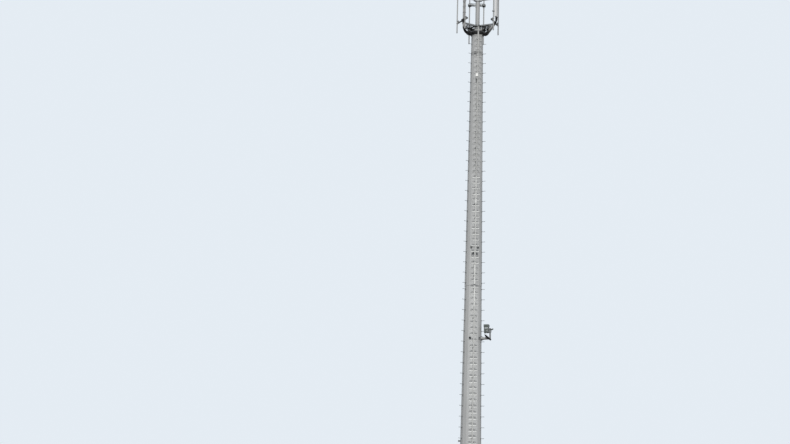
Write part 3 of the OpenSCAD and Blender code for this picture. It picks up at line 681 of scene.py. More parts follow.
class MonopoleStudio(bpy.types.PropertyGroup):
    """The camera, the light and the floor."""

    distance: bpy.props.FloatProperty(
        name="Distance", description="Distance from the camera to the mast",
        default=62.03, min=20.0, max=200.0, unit="LENGTH")
    offset: bpy.props.FloatProperty(
        name="Offset", description="How far to the right of the mast the camera stands",
        default=0.0, min=-20.0, max=20.0, unit="LENGTH")
    eye: bpy.props.FloatProperty(
        name="Eye height", description="Height of the camera above the ground",
        default=1.6, min=0.2, max=30.0, unit="LENGTH")
    lens: bpy.props.FloatProperty(
        name="Lens", description="Focal length of the camera", default=60.17, min=20.0, max=200.0,
        unit="CAMERA")
    rise: bpy.props.FloatProperty(
        name="Rise", description="How far the camera looks up",
        default=math.radians(12.73), min=-1.5, max=1.5, unit="ROTATION")
    swing: bpy.props.FloatProperty(
        name="Swing", description="How far the camera turns to the left",
        default=math.radians(3.52), min=-1.5, max=1.5, unit="ROTATION")
    roll: bpy.props.FloatProperty(
        name="Roll", description="How far the camera is tipped on its side",
        default=math.radians(1.71), min=-0.5, max=0.5, unit="ROTATION")
    sun: bpy.props.FloatProperty(
        name="Main lamp", description="Strength of the large soft lamp", default=3.5,
        min=0.0, max=10.0)
    sky: bpy.props.FloatProperty(
        name="Fill", description="Strength of the even light from all round", default=0.26,
        min=0.0, max=3.0)
    backdrop: bpy.props.FloatVectorProperty(
        name="Backdrop", description="Colour behind the mast",
        default=(0.78, 0.84, 0.9), min=0.0, max=1.0, size=3, subtype="COLOR")
    floor: bpy.props.FloatVectorProperty(
        name="Floor", description="Colour of the studio floor",
        default=(0.6, 0.61, 0.62), min=0.0, max=1.0, size=3, subtype="COLOR")


NODE_FINISHES = {
    "Shaft zinc": ("lower_shaft", "upper_shaft", "base_gussets", "hand_hole_frame",
                   "hand_hole_cover"),
    "Light zinc": ("side_arm", "mast", "mast_cap", "antenna_pipes"),
    "Dark zinc": ("base_flange", "ladder_brackets_lower", "ladder_brackets_upper",
                  "step_pegs_left", "step_pegs_right", "peg_bosses_left", "peg_bosses_right",
                  "port_rings", "earth_lug", "side_plate", "side_post", "unit_clamps",
                  "top_plate", "plate_studs", "mast_base", "mast_gussets", "arm_hubs",
                  "sector_arms", "arm_plates", "sector_bars", "crossover_plates",
                  "panel_brackets"),
    "Rung zinc": ("ladder_rungs_lower", "ladder_rungs_upper"),
    "Rail zinc": ("ladder_rail_lower", "ladder_rail_upper", "rail_joints"),
    "Black rubber": ("port_boots", "post_cap", "cable_boot", "pipe_caps", "unit_conduit",
                     "jumpers_right", "jumpers_left"),
    "Antenna shell": ("tall_panel", "short_panel"),
    "Equipment paint": ("unit_box", "unit_hood", "stub_lamp"),
    "Pale plate": ("blank_plate",),
    "Window pane": ("unit_window",),
}


class MONOPOLE_OT_finishes(bpy.types.Operator):
    """Makes the finishes and puts them on the construction's own pieces"""

    bl_idname = "monopole.finishes"
    bl_label = "Finishes"

    def execute(self, context):
        colours = context.scene.monopole_colours
        zinc = {"Metallic": 0.12, "Specular IOR Level": 0.16}
        # The shaft gets soil at its foot and a painted highlight down the front of its lower section
        zinc_finish("Shaft zinc", colours.shaft, zinc, foot=True, dark_bands=SHAFT_DARK_BANDS)
        zinc_finish("Light zinc", shade(colours.shaft, 0.82)[:3], zinc)
        zinc_finish("Dark zinc", colours.dark_steel, {"Metallic": 0.4}, 0.4, pale_hub_and_painted_highlight=CLEAN_HUB_Z)
        # Rung zinc is a lighter copy of the ladder colour: painted light that lifts the rungs' shaded
        # fronts
        ladder_finish("Rung zinc", shade(colours.ladder, 1.22)[:3], {"Metallic": 0.15}, RUNG_PAINTED_HIGHLIGHTS)
        ladder_finish("Rail zinc", colours.ladder, {"Metallic": 0.25}, RAIL_PAINTED_HIGHLIGHTS, RAIL_DARK_BANDS)
        rubber_finish("Black rubber", colours.rubber, {"Specular IOR Level": 0.2}, FADED_RUBBER)
        shell_finish("Antenna shell", colours.shell, {"Specular IOR Level": 0.4})
        paint_finish("Equipment paint", colours.unit, {"Specular IOR Level": 0.45})
        paint_finish("Pale plate", colours.plate, {"Specular IOR Level": 0.4})
        fastener_finish("Fasteners", colours.fastener, {"Metallic": 0.55})
        glass_finish("Window pane", colours.pane, {"Specular IOR Level": 0.7})
        for finish, nodes in NODE_FINISHES.items():
            for name in nodes:
                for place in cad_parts[name].material_slots:
                    place.material = bpy.data.materials[finish]
        return {"FINISHED"}


class MONOPOLE_OT_foot(bpy.types.Operator):
    """Adds the anchor bolts and the welds of the foot"""

    bl_idname = "monopole.foot"
    bl_label = "Foot"

    def execute(self, context):
        across = context.scene.monopole_sizes.anchor_nut
        rod, rod_top, washer = across * 0.327, FLANGE_T + 0.075, 0.006

        def anchor(bm):
            drum(bm, Matrix(), rod, rod_top, 16)
            drum(bm, shift(z=rod_top), rod, 0.004, 16, across * 0.26)
            drum(bm, shift(z=FLANGE_T), across * 0.66, washer, 24)
            hex_nut(bm, shift(z=FLANGE_T + washer), across, 0.029)
            hex_nut(bm, shift(z=FLANGE_T + washer + 0.03) @ turned(20), across, 0.018)

        bm = bmesh.new()
        step = 360 / ANCHORS
        stamp(bm, anchor, [turned(POLE_TURN + (i + 0.5) * step) @ shift(BOLT_CIRCLE)
                           for i in range(ANCHORS)])
        piece("anchor_bolts", bm, "Fasteners")
        self.welds()
        return {"FINISHED"}

    def welds(self):
        """The weld round the pole's foot and the long seams of both sections."""
        bm = bmesh.new()
        corner = pole_width(FLANGE_T) / 2 / math.cos(math.radians(FLAT_STEP / 2))
        fillet(bm, shift(z=FLANGE_T), corner, 0.016, 16, POLE_TURN - 90 + FLAT_STEP / 2)
        for turn in (SEAM_TURN, -SEAM_TURN):
            for low, high in ((FLANGE_T + 0.02, SPLICE_Z), (SPLICE_Z, BOOT_Z)):
                place = on_flat(low + 0.001, turn)
                corners = drum(bm, place, 0.006, (high - low) / math.cos(UPPER_TILT) - 0.003, 8)
                bmesh.ops.scale(bm, vec=(1.0, 0.35, 1.0), space=place.inverted(), verts=corners)
        piece("pole_welds", bm, "Shaft zinc")


class MONOPOLE_OT_hand_hole(bpy.types.Operator):
    """Adds the bolts, hinges and lock of the hand hole's cover"""

    bl_idname = "monopole.hand_hole"
    bl_label = "Hand hole"

    def execute(self, context):
        size = context.scene.monopole_sizes.small_bolt
        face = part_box("hand_hole_cover")
        z = (face[0].z + face[1].z) / 2
        front = pole_width(DOOR_Z - DOOR_RIM) / 2 + DOOR_OUT + DOOR_T
        cover = turned(POLE_TURN) @ shift(0, -front, z)
        bm = bmesh.new()
        reach, straight = 0.168, 0.3
        spots = [(side * reach, dz) for side in (-1, 1) for dz in (-straight, -0.1, 0.1, straight)]
        for a in (-50, 0, 50):
            across, up = reach * math.sin(math.radians(a)), reach * math.cos(math.radians(a))
            spots += [(across, end * (straight + up)) for end in (-1, 1)]
        for x, dz in spots:
            bolt(bm, cover @ shift(x, 0, dz) @ OUTWARDS, size)
        lock = cover @ shift(0.1)
        drum(bm, lock @ OUTWARDS, 0.024, 0.01, 24)
        drum(bm, lock @ shift(y=-0.01) @ OUTWARDS, 0.012, 0.008, 3)
        for dz in (-0.22, 0.22):
            drum(bm, cover @ shift(-0.196, 0.004, dz - 0.05), 0.011, 0.1, 12)
            slab(bm, cover @ shift(-0.165, -0.002, dz), (0.05, 0.004, 0.09), 0.001)
        piece("cover_fittings", bm, "Fasteners")
        return {"FINISHED"}


class MONOPOLE_OT_ladder(bpy.types.Operator):
    """Adds the ladder's bolts, tread ribs and end plates, and the plate behind its rail"""

    bl_idname = "monopole.ladder"
    bl_label = "Ladder fittings"

    def execute(self, context):
        sizes = context.scene.monopole_sizes
        self.bolts(sizes.small_bolt)
        self.treads(sizes.tread)
        self.back_plate(sizes.small_bolt)
        return {"FINISHED"}

    def bolts(self, size):
        """The bolts of the brackets and of the rail's joint sleeves."""
        places = []
        for z in LOWER_BRACKET_ZS + UPPER_BRACKET_ZS:
            foot = on_flat(z)
            places += [foot @ shift(x, -0.008, dz) @ OUTWARDS
                       for x in (-0.036, 0.036) for dz in (-0.028, 0.028)]
            places += [foot @ shift(0, -LADDER_GAP - RAIL_T, dz) @ OUTWARDS for dz in (-0.024, 0.024)]
        for k in JOINT_RUNGS:
            sleeve = on_flat(UPPER_LADDER_Z) @ shift(z=k * RUNG_PITCH)
            places += [sleeve @ shift(side * (RAIL_W / 2 + 0.006), -LADDER_GAP - 0.024, dz)
                       @ turned(90 * side) @ OUTWARDS for side in (-1, 1) for dz in (-0.045, 0.045)]
        bm = bmesh.new()
        stamp(bm, lambda drawn: bolt(drawn, Matrix(), size), places)
        piece("ladder_bolts", bm, "Fasteners")

    def treads(self, rib):
        """The ribs on the rungs, and the plates that close the rail's ends."""
        lower_run = (SPLICE_Z - 0.04 - LADDER_Z) / math.cos(LOWER_TILT)
        upper_run = (POLE_H + LADDER_OVER - UPPER_LADDER_Z) / math.cos(UPPER_TILT)
        middle = -LADDER_GAP - RAIL_D / 2

        def ribs(bm):
            for side in (-1, 1):
                for k in range(6):
                    slab(bm, shift(side * (RAIL_W / 2 + 0.02 + 0.021 * k), middle, 0),
                         (0.005, RUNG_D - 0.006, rib * 2))

        bm = bmesh.new()
        for start, run in ((LADDER_Z, lower_run), (UPPER_LADDER_Z, upper_run)):
            count = int((run - RUNG_H - RUNG_PITCH / 2) / RUNG_PITCH) + 1
            foot = on_flat(start)
            stamp(bm, ribs, [foot @ shift(z=RUNG_PITCH * (k + 0.5) + RUNG_H) for k in range(count)])
            for z in (-0.002, run + 0.002):
                slab(bm, foot @ shift(0, middle, z), (RAIL_W + 0.006, RAIL_D + 0.006, 0.004), 0.001)
        piece("tread_ribs", bm, "Rung zinc")

    def back_plate(self, size):
        """The dark plate behind the rail, on its two feet."""
        bm = bmesh.new()
        back = on_flat(BACK_PLATE_Z)
        slab(bm, back @ shift(0, -0.106, 0), (0.31, 0.012, 0.12), 0.002)
        for side in (-1, 1):
            slab(bm, back @ shift(side * 0.045, -0.049, 0), (0.01, 0.102, 0.08), 0.001)
            bolt_rows(bm, back, (side * 0.075, side * 0.135), -0.112, (-0.04, 0.04), size)
        piece("rail_back_plate", bm, "Dark zinc")


class MONOPOLE_OT_pegs(bpy.types.Operator):
    """Adds a washer and a lock nut to every step peg"""

    bl_idname = "monopole.pegs"
    bl_label = "Peg fittings"

    def execute(self, context):
        def fitting(bm):
            drum(bm, Matrix(), 0.028, 0.004, 12)
            hex_nut(bm, shift(z=0.0255), M20, 0.011)

        bm = bmesh.new()
        stamp(bm, fitting, [on_flat(z, turn) @ OUTWARDS for z in LOWER_PEG_ZS + UPPER_PEG_ZS
                            for turn in (-PEG_TURN, PEG_TURN)])
        piece("peg_fittings", bm, "Dark zinc")
        return {"FINISHED"}


class MONOPOLE_OT_ports(bpy.types.Operator):
    """Adds the screws and clips of the cable ports, the blank plate's rivets and the earth bolt"""

    bl_idname = "monopole.ports"
    bl_label = "Port fittings"

    def execute(self, context):
        size = context.scene.monopole_sizes.small_bolt
        bm = bmesh.new()
        for z, turn, aside in PORTS:
            place = on_flat(z, turn) @ shift(aside) @ OUTWARDS
            for k in range(6):
                bolt(bm, place @ turned(60 * k + 30) @ shift(0.052, 0, PORT_OUT - 0.0002), size * 0.5)
            band(bm, place @ shift(z=PORT_OUT + 0.006), 0.027, 0.0016, 0.009)
        plate = on_flat(BLANK_PLATE_Z)
        for x in (-0.084, 0.004):
            for dz in (-0.063, 0.063):
                drum(bm, plate @ shift(x, -LADDER_GAP - RAIL_D - 0.004, dz) @ OUTWARDS,
                     0.006, 0.003, 12, 0.003)
        lug = on_flat(LUG_Z, -90) @ shift(y=-0.07)
        for side in (-1, 1):
            bolt(bm, lug @ shift(side * 0.025) @ turned(90 * side) @ OUTWARDS, M16)
        piece("port_fittings", bm, "Fasteners")
        return {"FINISHED"}


class MONOPOLE_OT_side_unit(bpy.types.Operator):
    """Dresses the side arm, its equipment box, the cable sleeve and the lamp"""

    bl_idname = "monopole.side_unit"
    bl_label = "Side arm and box"

    def execute(self, context):
        sizes = context.scene.monopole_sizes
        foot = on_flat(SIDE_Z, 90 - FLAT_STEP)
        front = foot @ shift(-UNIT_D / 2, -UNIT_MIDDLE, 0)
        post = foot @ shift(0, -SIDE_REACH, 0)
        lamp = post @ shift(z=UNIT_Z + 0.098) @ Matrix.Rotation(math.radians(-30), 4, "X") @ OUTWARDS
        self.bolts(foot)
        self.welds(foot, post, sizes.weld)
        self.trim(foot, front, lamp)
        self.window_and_latch(front)
        self.glass(lamp)
        self.sleeve(foot, sizes.conduit_rib)
        return {"FINISHED"}

    def bolts(self, foot):
        """The bolts of the foot plates, the post's clamps and the hood, and the door's hinges."""
        bm = bmesh.new()
        bolt_rows(bm, foot, (-0.05, 0.05), -0.012, (-0.085, 0.105), M16, 0.008)
        saddle = on_flat(SIDE_Z, 90 - 2 * FLAT_STEP)
        bolt_rows(bm, saddle, (-0.052, 0.052), -0.01, (-0.042, 0.042), M16, 0.008)
        bolt_rows(bm, foot, (-0.044, 0.044), -SIDE_REACH - POST_R - 0.014,
                  (UNIT_Z + 0.046, UNIT_Z + 0.18), M10)
        for y in (UNIT_IN + 0.03, UNIT_IN + UNIT_W - 0.03):
            for side in (-1, 1):
                bolt(bm, foot @ shift(side * (UNIT_D / 2 + 0.012), -y, UNIT_TOP - 0.03)
                     @ turned(90 * side) @ OUTWARDS, M6)
        for z in (UNIT_Z + 0.02, UNIT_Z + 0.115):
            drum(bm, foot @ shift(-UNIT_D / 2 - 0.003, -UNIT_IN - UNIT_W + 0.012, z), 0.006, 0.035, 12)
        piece("side_bolts", bm, "Fasteners")

    def welds(self, foot, post, leg):
        """The weld round the arm and the disc that closes the post's lower end."""
        bm = bmesh.new()
        fillet(bm, foot @ shift(0, -0.012, 0) @ OUTWARDS, SIDE_R, leg)
        drum(bm, post @ shift(z=-0.073), POST_R, 0.003, 24)
        piece("side_welds", bm, "Light zinc")

    def trim(self, foot, front, lamp):
        """The door, ledges, louvres and lid of the box, and the lamp's rim and ribs."""
        bm = bmesh.new()
        slab(bm, front @ shift(-0.002, 0, UNIT_Z + 0.087), (0.006, UNIT_W - 0.02, 0.154), 0.0015)
        for z in (-0.006, 0.081):
            slab(bm, front @ shift(-0.006, 0, UNIT_TOP - 0.2 + z), (0.014, UNIT_W - 0.055, 0.012), 0.002)
        for k in range(7):
            slab(bm, foot @ shift(UNIT_D / 2 + 0.002, -UNIT_MIDDLE, UNIT_Z + 0.05 + 0.032 * k)
                 @ Matrix.Rotation(math.radians(30), 4, "Y"), (0.004, UNIT_W - 0.06, 0.02), 0.001)
        slab(bm, foot @ shift(0, -UNIT_MIDDLE, UNIT_TOP + 0.005),
             (UNIT_D + 0.02, UNIT_W + 0.02, 0.006), 0.003)
        ring(bm, lamp @ shift(z=0.153),
             [(0.022, 0.0), (0.031, 0.0), (0.031, 0.018), (0.028, 0.022), (0.022, 0.006)])
        for k in range(4):
            band(bm, lamp @ shift(z=0.078 + 0.016 * k), 0.0265, 0.0035, 0.006)
        piece("unit_trim", bm, "Equipment paint")

    def window_and_latch(self, front):
        """The pale rim beside the window, and the door's latch."""
        bm = bmesh.new()
        slab(bm, front @ shift(-0.004, 0.022 - UNIT_W / 2, UNIT_TOP - 0.1625),
             (0.01, 0.026, 0.074), 0.002)
        piece("window_rim", bm, "Light zinc")

        bm = bmesh.new()
        slab(bm, front @ shift(-0.008, -0.045, UNIT_Z + 0.085), (0.01, 0.044, 0.07), 0.003)
        slab(bm, front @ shift(-0.017, -0.045, UNIT_Z + 0.089), (0.012, 0.014, 0.04), 0.002)
        piece("unit_latch", bm, "Light zinc")

    def glass(self, lamp):
        """The lamp's domed glass."""
        bm = bmesh.new()
        drum(bm, lamp @ shift(z=0.149), 0.022, 0.004, 24)
        drum(bm, lamp @ shift(z=0.153), 0.022, 0.005, 24, 0.014)
        piece("lamp_glass", bm, "Window pane")

    def sleeve(self, foot, pitch):
        """The lead from the box, the ribbed sleeve that takes it to the arm, and their clips."""
        aside = SIDE_R + CONDUIT_R + 0.002
        start, head = UNIT_IN + 0.045, SIDE_REACH - 0.2
        upper = foot @ Vector((-aside, -head, 0.125))
        lower = foot @ Vector((-aside, -SIDE_REACH - 0.028, -0.065))
        sleeve = Matrix.Translation(upper) @ facing(lower - upper)
        length = (lower - upper).length
        bm = cable_mesh([smooth_route(placed(foot, (
            (-0.06, -start, UNIT_Z), (-0.062, 0.002 - start, UNIT_Z - 0.04),
            (-0.08, 0.03 - head, 0.205), (0.012 - aside, 0.034 - head, 0.165),
            (-aside, 0.01 - head, 0.134), (-aside, -head - 0.016, 0.112))))], LEAD_R)
        drum(bm, sleeve @ shift(z=0.004), CONDUIT_R - 0.003, length - 0.008, 32)
        rim = CONDUIT_R + 0.007
        for z in (-0.012, length - 0.02):
            ring(bm, sleeve @ shift(z=z),
                 [(0.018, 0.0), (rim - 0.003, 0.0), (rim, 0.003),
                  (rim, 0.029), (rim - 0.003, 0.032), (0.018, 0.032)], 32)
        drum(bm, sleeve @ shift(z=length + 0.01), CONDUIT_R + 0.002, 0.042, 32, 0.032)
        for k in range(int((length - 0.07) / pitch)):
            ring(bm, sleeve @ shift(z=0.036 + pitch * k),
                 [(CONDUIT_R - 0.006, -0.0035), (CONDUIT_R + 0.004, -0.0015),
                  (CONDUIT_R + 0.004, 0.0015), (CONDUIT_R - 0.006, 0.0035)], 24)
        cradle = foot @ shift(-(aside + 0.047) / 2, 0.1 - SIDE_REACH, 0.005)
        slab(bm, cradle, (aside - 0.047, 0.05, 0.06), 0.003)
        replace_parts(piece("unit_sleeve", bm, "Black rubber"), "unit_conduit")

        bm = bmesh.new()
        band(bm, sleeve @ shift(z=length / 2 + 0.008), CONDUIT_R - 0.001, 0.008, 0.022, 32)
        for z in (-0.018, 0.028):
            bolt(bm, cradle @ shift(0.004, -0.025, z) @ OUTWARDS, M6)
        gland = foot @ shift(-0.06, -start, UNIT_Z)
        drum(bm, gland @ shift(z=-0.024), 0.019, 0.016, 6)
        drum(bm, gland @ shift(z=-0.008), 0.022, 0.008, 20)
        small = foot @ shift(0.04, -UNIT_MIDDLE - 0.05, UNIT_Z)
        drum(bm, small @ shift(z=-0.012), 0.014, 0.012, 6)
        drum(bm, small @ shift(z=-0.022), 0.008, 0.01, 12)
        piece("sleeve_clips", bm, "Black rubber")


class MONOPOLE_OT_head(bpy.types.Operator):
    """Adds the nuts, U-bolts, welds, pipe plugs and boot bands of the antenna head"""

    bl_idname = "monopole.head"
    bl_label = "Head fittings"

    def execute(self, context):
        sizes = context.scene.monopole_sizes
        self.bolts()
        self.u_bolts(sizes.u_rod)
        self.welds(sizes.weld)
        self.bands()
        return {"FINISHED"}

    def bolts(self):
        """The nuts on the top plate's studs and the bolts through the ears of the hubs."""
        bm = bmesh.new()
        for i in range(8):
            stud = turned(22.5 + 45 * i) @ shift(STUD_REACH)
            for z in (POLE_H + PLATE_T, MAST_BASE_Z - 0.026, MAST_Z):
                drum(bm, stud @ shift(z=z), 0.03, 0.003, 16)
                hex_nut(bm, stud @ shift(z=z + 0.003), M30, 0.023)
            drum(bm, stud @ shift(z=MAST_Z), 0.016, 0.045, 16)
        for z in ARM_ZS:
            rows = (z - 0.04, z, z + 0.04)
            for depth, way in ((-EAR_HALF_T, OUTWARDS), (EAR_HALF_T, INWARDS)):
                bolt_rows(bm, sector(SPLIT_TURN), (-EAR_REACH, EAR_REACH), depth, rows, M16, 0.006, way)
        piece("head_bolts", bm, "Fasteners")

    def u_bolts(self, rod):
        """The U-bolts that hold the bars to the arms and the pipes to the bars."""
        bm = bmesh.new()
        nut = rod * 3.2
        round_bar, round_pipe = BAR_R + rod, PIPE_R + rod
        for z, turn in ARMS:
            bar = sector(turn) @ shift(0, -BAR_REACH, z + BAR_RISE)
            for x in (-0.055, 0.055):
                u_bolt(bm, bar @ shift(x) @ turned(90) @ OUTWARDS, round_bar, rod, BAR_R + 0.03)
                for side in (-1, 1):
                    bolt(bm, bar @ shift(x, BAR_R + BAR_PLATE_T, side * round_bar) @ INWARDS, nut)
            for side in (-1, 1):
                cross = sector(turn) @ shift(side * PIPE_X, 0, z + BAR_RISE)
                for x in (-0.06, 0.06):
                    u_bolt(bm, cross @ shift(x, -BAR_REACH, 0) @ turned(-90) @ OUTWARDS,
                           round_bar, rod, BAR_R + 0.03)
                    for up in (-1, 1):
                        bolt(bm, cross @ shift(x, -OUTER_REACH, up * round_bar) @ OUTWARDS, nut)
                for dz in (-0.066, 0.066):
                    u_bolt(bm, cross @ shift(0, -PIPE_REACH, dz) @ turned(90),
                           round_pipe, rod, PIPE_R + 0.03)
                    for x in (-1, 1):
                        bolt(bm, cross @ shift(x * round_pipe, BAR_PLATE_T - OUTER_REACH, dz) @ INWARDS,
                             nut)
        piece("u_bolts", bm, "Fasteners")

    def welds(self, leg):
        """The welds round the mast's foot and both ends of every arm."""
        bm = bmesh.new()
        fillet(bm, shift(z=MAST_Z), MAST_R, leg * 1.3, 32)
        corner = ARM_W / math.sqrt(2)
        for z, turn in ARMS:
            root = sector(turn) @ shift(0, 0.004 - HUB_R, z) @ OUTWARDS
            tip = sector(turn) @ shift(0, BAR_PLATE_T + BAR_R - BAR_REACH, z) @ INWARDS
            for place in (root, tip):
                fillet(bm, place, corner, leg * 1.4, 4, 45)
        piece("head_welds", bm, "Dark zinc")

    def bands(self):
        """The plugs in the lower ends of the pipes and the bands round the boot."""
        bm = bmesh.new()
        for turn in SECTORS:
            for side in (-1, 1):
                drop = BACK_DROP if turn == BACK else 0.0
                foot = sector(turn) @ shift(side * PIPE_X, -PIPE_REACH, PIPE_Z - drop)
                drum(bm, foot @ shift(z=-0.008), PIPE_R + 0.001, 0.01, 24)
        for z in (0.006, 0.112):
            band(bm, shift(z=BOOT_Z + z), BOOT_R - 0.001, 0.005, 0.014, 48)
        piece("boot_bands", bm, "Black rubber")


def bundle(line, z):
    """The four cables round a middle line, from the boot to their sockets at height z."""
    routes = []
    for column, row in CORNERS:
        x = line[0][0] + column * SIDE_GAP
        points = [(x, 0.004 - math.sqrt(BOOT_R ** 2 - x ** 2), CABLE_Z - row * ROW_GAP)]
        for before, at, after in zip(line, line[1:], line[2:] + line[-1:]):
            run_y, run_z = after[1] - before[1], after[2] - before[2]
            aside = row * ROW_GAP / math.hypot(run_y, run_z)
            points.append((at[0] + column * SIDE_GAP, at[1] - aside * run_z, at[2] + aside * run_y))
        end = (PIPE_X + column * SOCKET_STEP, -SOCKET_REACH - row * SOCKET_STEP)
        routes.append(points + [(*end, z - drop) for drop in (0.13, 0.078, 0.034)])
    return routes


def feeder_grid(rows, low, high):
    """Each feeder's row, its place across and up at the mast, and its height on the way out."""
    for row in range(rows):
        for column in range(3):
            yield (row, 0.055 + FEEDER_STEP * column, low + FEEDER_STEP * row,
                   high + 0.084 * row + 0.028 * column)


class MONOPOLE_OT_jumpers(bpy.types.Operator):
    """Makes the antennas' cables smooth, and adds their wraps, fittings, feeders, coil and tails"""

    bl_idname = "monopole.jumpers"
    bl_label = "Jumper cables"

    def execute(self, context):
        right = sector(RIGHT) @ Matrix.Diagonal((-1.0, 1.0, 1.0, 1.0))
        left = sector(LEFT)
        self.bundles(right, left)
        self.feeders(right, left)
        self.coil()
        self.tails(context.scene.monopole_sizes.u_rod)
        self.grip(left)
        self.hangers(left)
        return {"FINISHED"}

    def bundles(self, right, left):
        """The four cables of each antenna, with the collars at their ends and their wrap."""
        sleeves = bmesh.new()
        for name, node, place, line, z, wrapped, slack in (
                ("cables_right", "jumpers_right", right, RIGHT_LINE, TALL_Z, 43, 8),
                ("cables_left", "jumpers_left", left, LEFT_LINE, SHORT_Z, 40, 12)):
            routes = []
            for strand in bundle(line, z):
                points = placed(place, strand)
                routes.append(smooth_route(points))
                entry = Matrix.Translation(points[0]) @ facing(points[1] - points[0])
                drum(sleeves, entry, 0.0205, 0.026, 16)
                drum(sleeves, entry @ shift(z=0.026), 0.0205, 0.012, 16, 0.0185)
                drum(sleeves, Matrix.Translation(points[-1]) @ shift(z=-0.05), 0.0195, 0.05, 16, 0.0235)
            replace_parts(piece(name, cable_mesh(routes, JUMPER_R), "Black rubber",
                              50), node)
            self.wrap(name + "_wrap", smooth_route(placed(place, line)), wrapped, slack, sleeves)
        piece("cable_sleeves", sleeves, "Black rubber", 30)

    def wrap(self, name, middle, wrapped, slack, sleeves):
        """The wrap round a bundle, which sags and swells near its slack point, and its ties."""
        first = 5
        swell = [math.cos((k - slack) * math.pi / 20) if abs(k - slack) < 10 else 0.0
                 for k in range(wrapped)]
        girth = [1.0 + 0.33 * min(max((wrapped - 8 - k) / 12, 0.0), 1.0) + 0.35 * swell[k]
                 for k in range(wrapped)]
        jacket = [middle[k] - Vector((0.0, 0.0, 0.034 * swell[k])) for k in range(wrapped)]
        piece(name, cable_mesh([jacket[first:]], WRAP_R, girth[first:]), "Black rubber",
              50)
        ways = [facing(after - before, "X") for before, after in zip(middle, middle[2:])]
        for k in range(first, wrapped):
            around = WRAP_R * girth[k]
            ring(sleeves, Matrix.Translation(jacket[k]) @ ways[k - 1],
                 [(around - 0.005, -0.007), (around + 0.003, -0.004),
                  (around + 0.003, 0.004), (around - 0.005, 0.007)], 24)
        for k in range(wrapped + 4, len(middle) - 2, 9):
            ring(sleeves, Matrix.Translation(middle[k]) @ ways[k - 1],
                 [(WRAP_R, -0.005), (WRAP_R + 0.002, -0.005),
                  (WRAP_R + 0.002, 0.005), (WRAP_R, 0.005)], 4, 45)

    def feeders(self, right, left):
        """The thin cables that come from under the base plate and from the coil to the bundles."""
        fan = []
        for place, end in ((right, (0.268, -0.868, 25.44)), (left, (0.272, -0.94, 25.3))):
            for _, x, z, high in feeder_grid(3, MAST_BASE_Z - 0.069, CABLE_Z + 0.06):
                fan.append(smooth_route(placed(place, (
                    (x, -0.14, z), (x, -0.345, z), (x + 0.02, -0.46, high),
                    (x + 0.07, -0.68, high), (end[0], end[1], end[2] + (high - end[2]) * 0.3)))))
        for place, rows, end in ((right, 3, (0.272, -0.86, 25.37)), (left, 1, (0.272, -0.9, 25.3))):
            for row, x, z, high in feeder_grid(rows, MAST_Z + 0.075, MAST_Z - 0.114):
                fan.append(smooth_route(placed(place, (
                    (x, -0.262, z), (x + 0.02, -0.34, z + 0.02), (x + 0.09, -0.47, high),
                    (x + 0.12, -0.64, high), (end[0], end[1], end[2] + 0.05 * row)))))
        piece("feeder_fan", cable_mesh(fan, FEEDER_R), "Black rubber", 50)

    def coil(self):
        """The spare length that lies in turns round the mast's foot, under four straps."""
        turns = [k * math.tau / 32 for k in range(104)]
        coil = cable_mesh([[Vector((COIL_R * math.cos(t), COIL_R * math.sin(t),
                                    MAST_Z + 0.062 + FEEDER_STEP * t / math.tau)) for t in turns]],
                          FEEDER_R)
        for k in range(4):
            strap = turned(12 + 90 * k) @ shift(COIL_R, 0, MAST_Z + 0.106)
            slab(coil, strap, (0.033, 0.014, 0.118), 0.003)
        piece("cable_coil", coil, "Black rubber", 50)

    def tails(self, rod):
        """The two cable ends that are clipped along the back sector's upper bar."""
        bar = sector(BACK) @ shift(0, -BAR_REACH, ARM_ZS[1] + BAR_RISE)
        line = ((-0.4, 0.0), (-0.29, 0.006), (-0.17, 0.0), (0.0, 0.005),
                (0.17, 0.0), (0.29, 0.006), (0.4, 0.0))
        height = BAR_R + 2 * rod + 0.014
        tails = cable_mesh([
            smooth_route(placed(bar, [(x, 0.0, side * (height + slack)) for x, slack in line]))
            for side in (-1, 1)], TAIL_R)
        for x in (-0.38, -0.17, 0.17, 0.38):
            for side in (-1, 1):
                slab(tails, bar @ shift(x, 0, side * (BAR_R + rod)), (0.014, 0.03, 2 * rod + 0.012), 0.001)
        piece("bar_tails", tails, "Black rubber", 50)

    def grip(self, left):
        """The bolted block that grips the left bundle."""
        bm = bmesh.new()
        grip = left @ shift(0.205, -0.995, LOW_BAR_Z - 0.085)
        slab(bm, grip, (0.14, 0.105, 0.13), 0.012)
        slab(bm, grip @ shift(z=0.07), (0.1, 0.09, 0.02), 0.004)
        bolt_rows(bm, grip, (-0.048, 0.048), -0.052, (-0.042, 0.042), M10)
        piece("cable_grip", bm, "Black rubber")

    def hangers(self, left):
        """The hangers that hold the left bundle to its pipe."""
        bm = bmesh.new()
        near, far = BUNDLE_X - SIDE_GAP - JUMPER_R, PIPE_X + PIPE_R
        for z in (LOW_BAR_Z + 0.3, LOW_BAR_Z + 0.62, SHORT_Z - 0.4):
            place = left @ shift((near + far) / 2, -PIPE_REACH - 0.019, z)
            for y in (-0.052, 0.052):
                slab(bm, place @ shift(y=y), (far - near + 0.012, 0.004, 0.024), 0.001)
            for x in (-1, 1):
                slab(bm, place @ shift(x * ((far - near) / 2 + 0.004)), (0.004, 0.108, 0.024), 0.001)
        piece("cable_hangers", bm, "Fasteners")


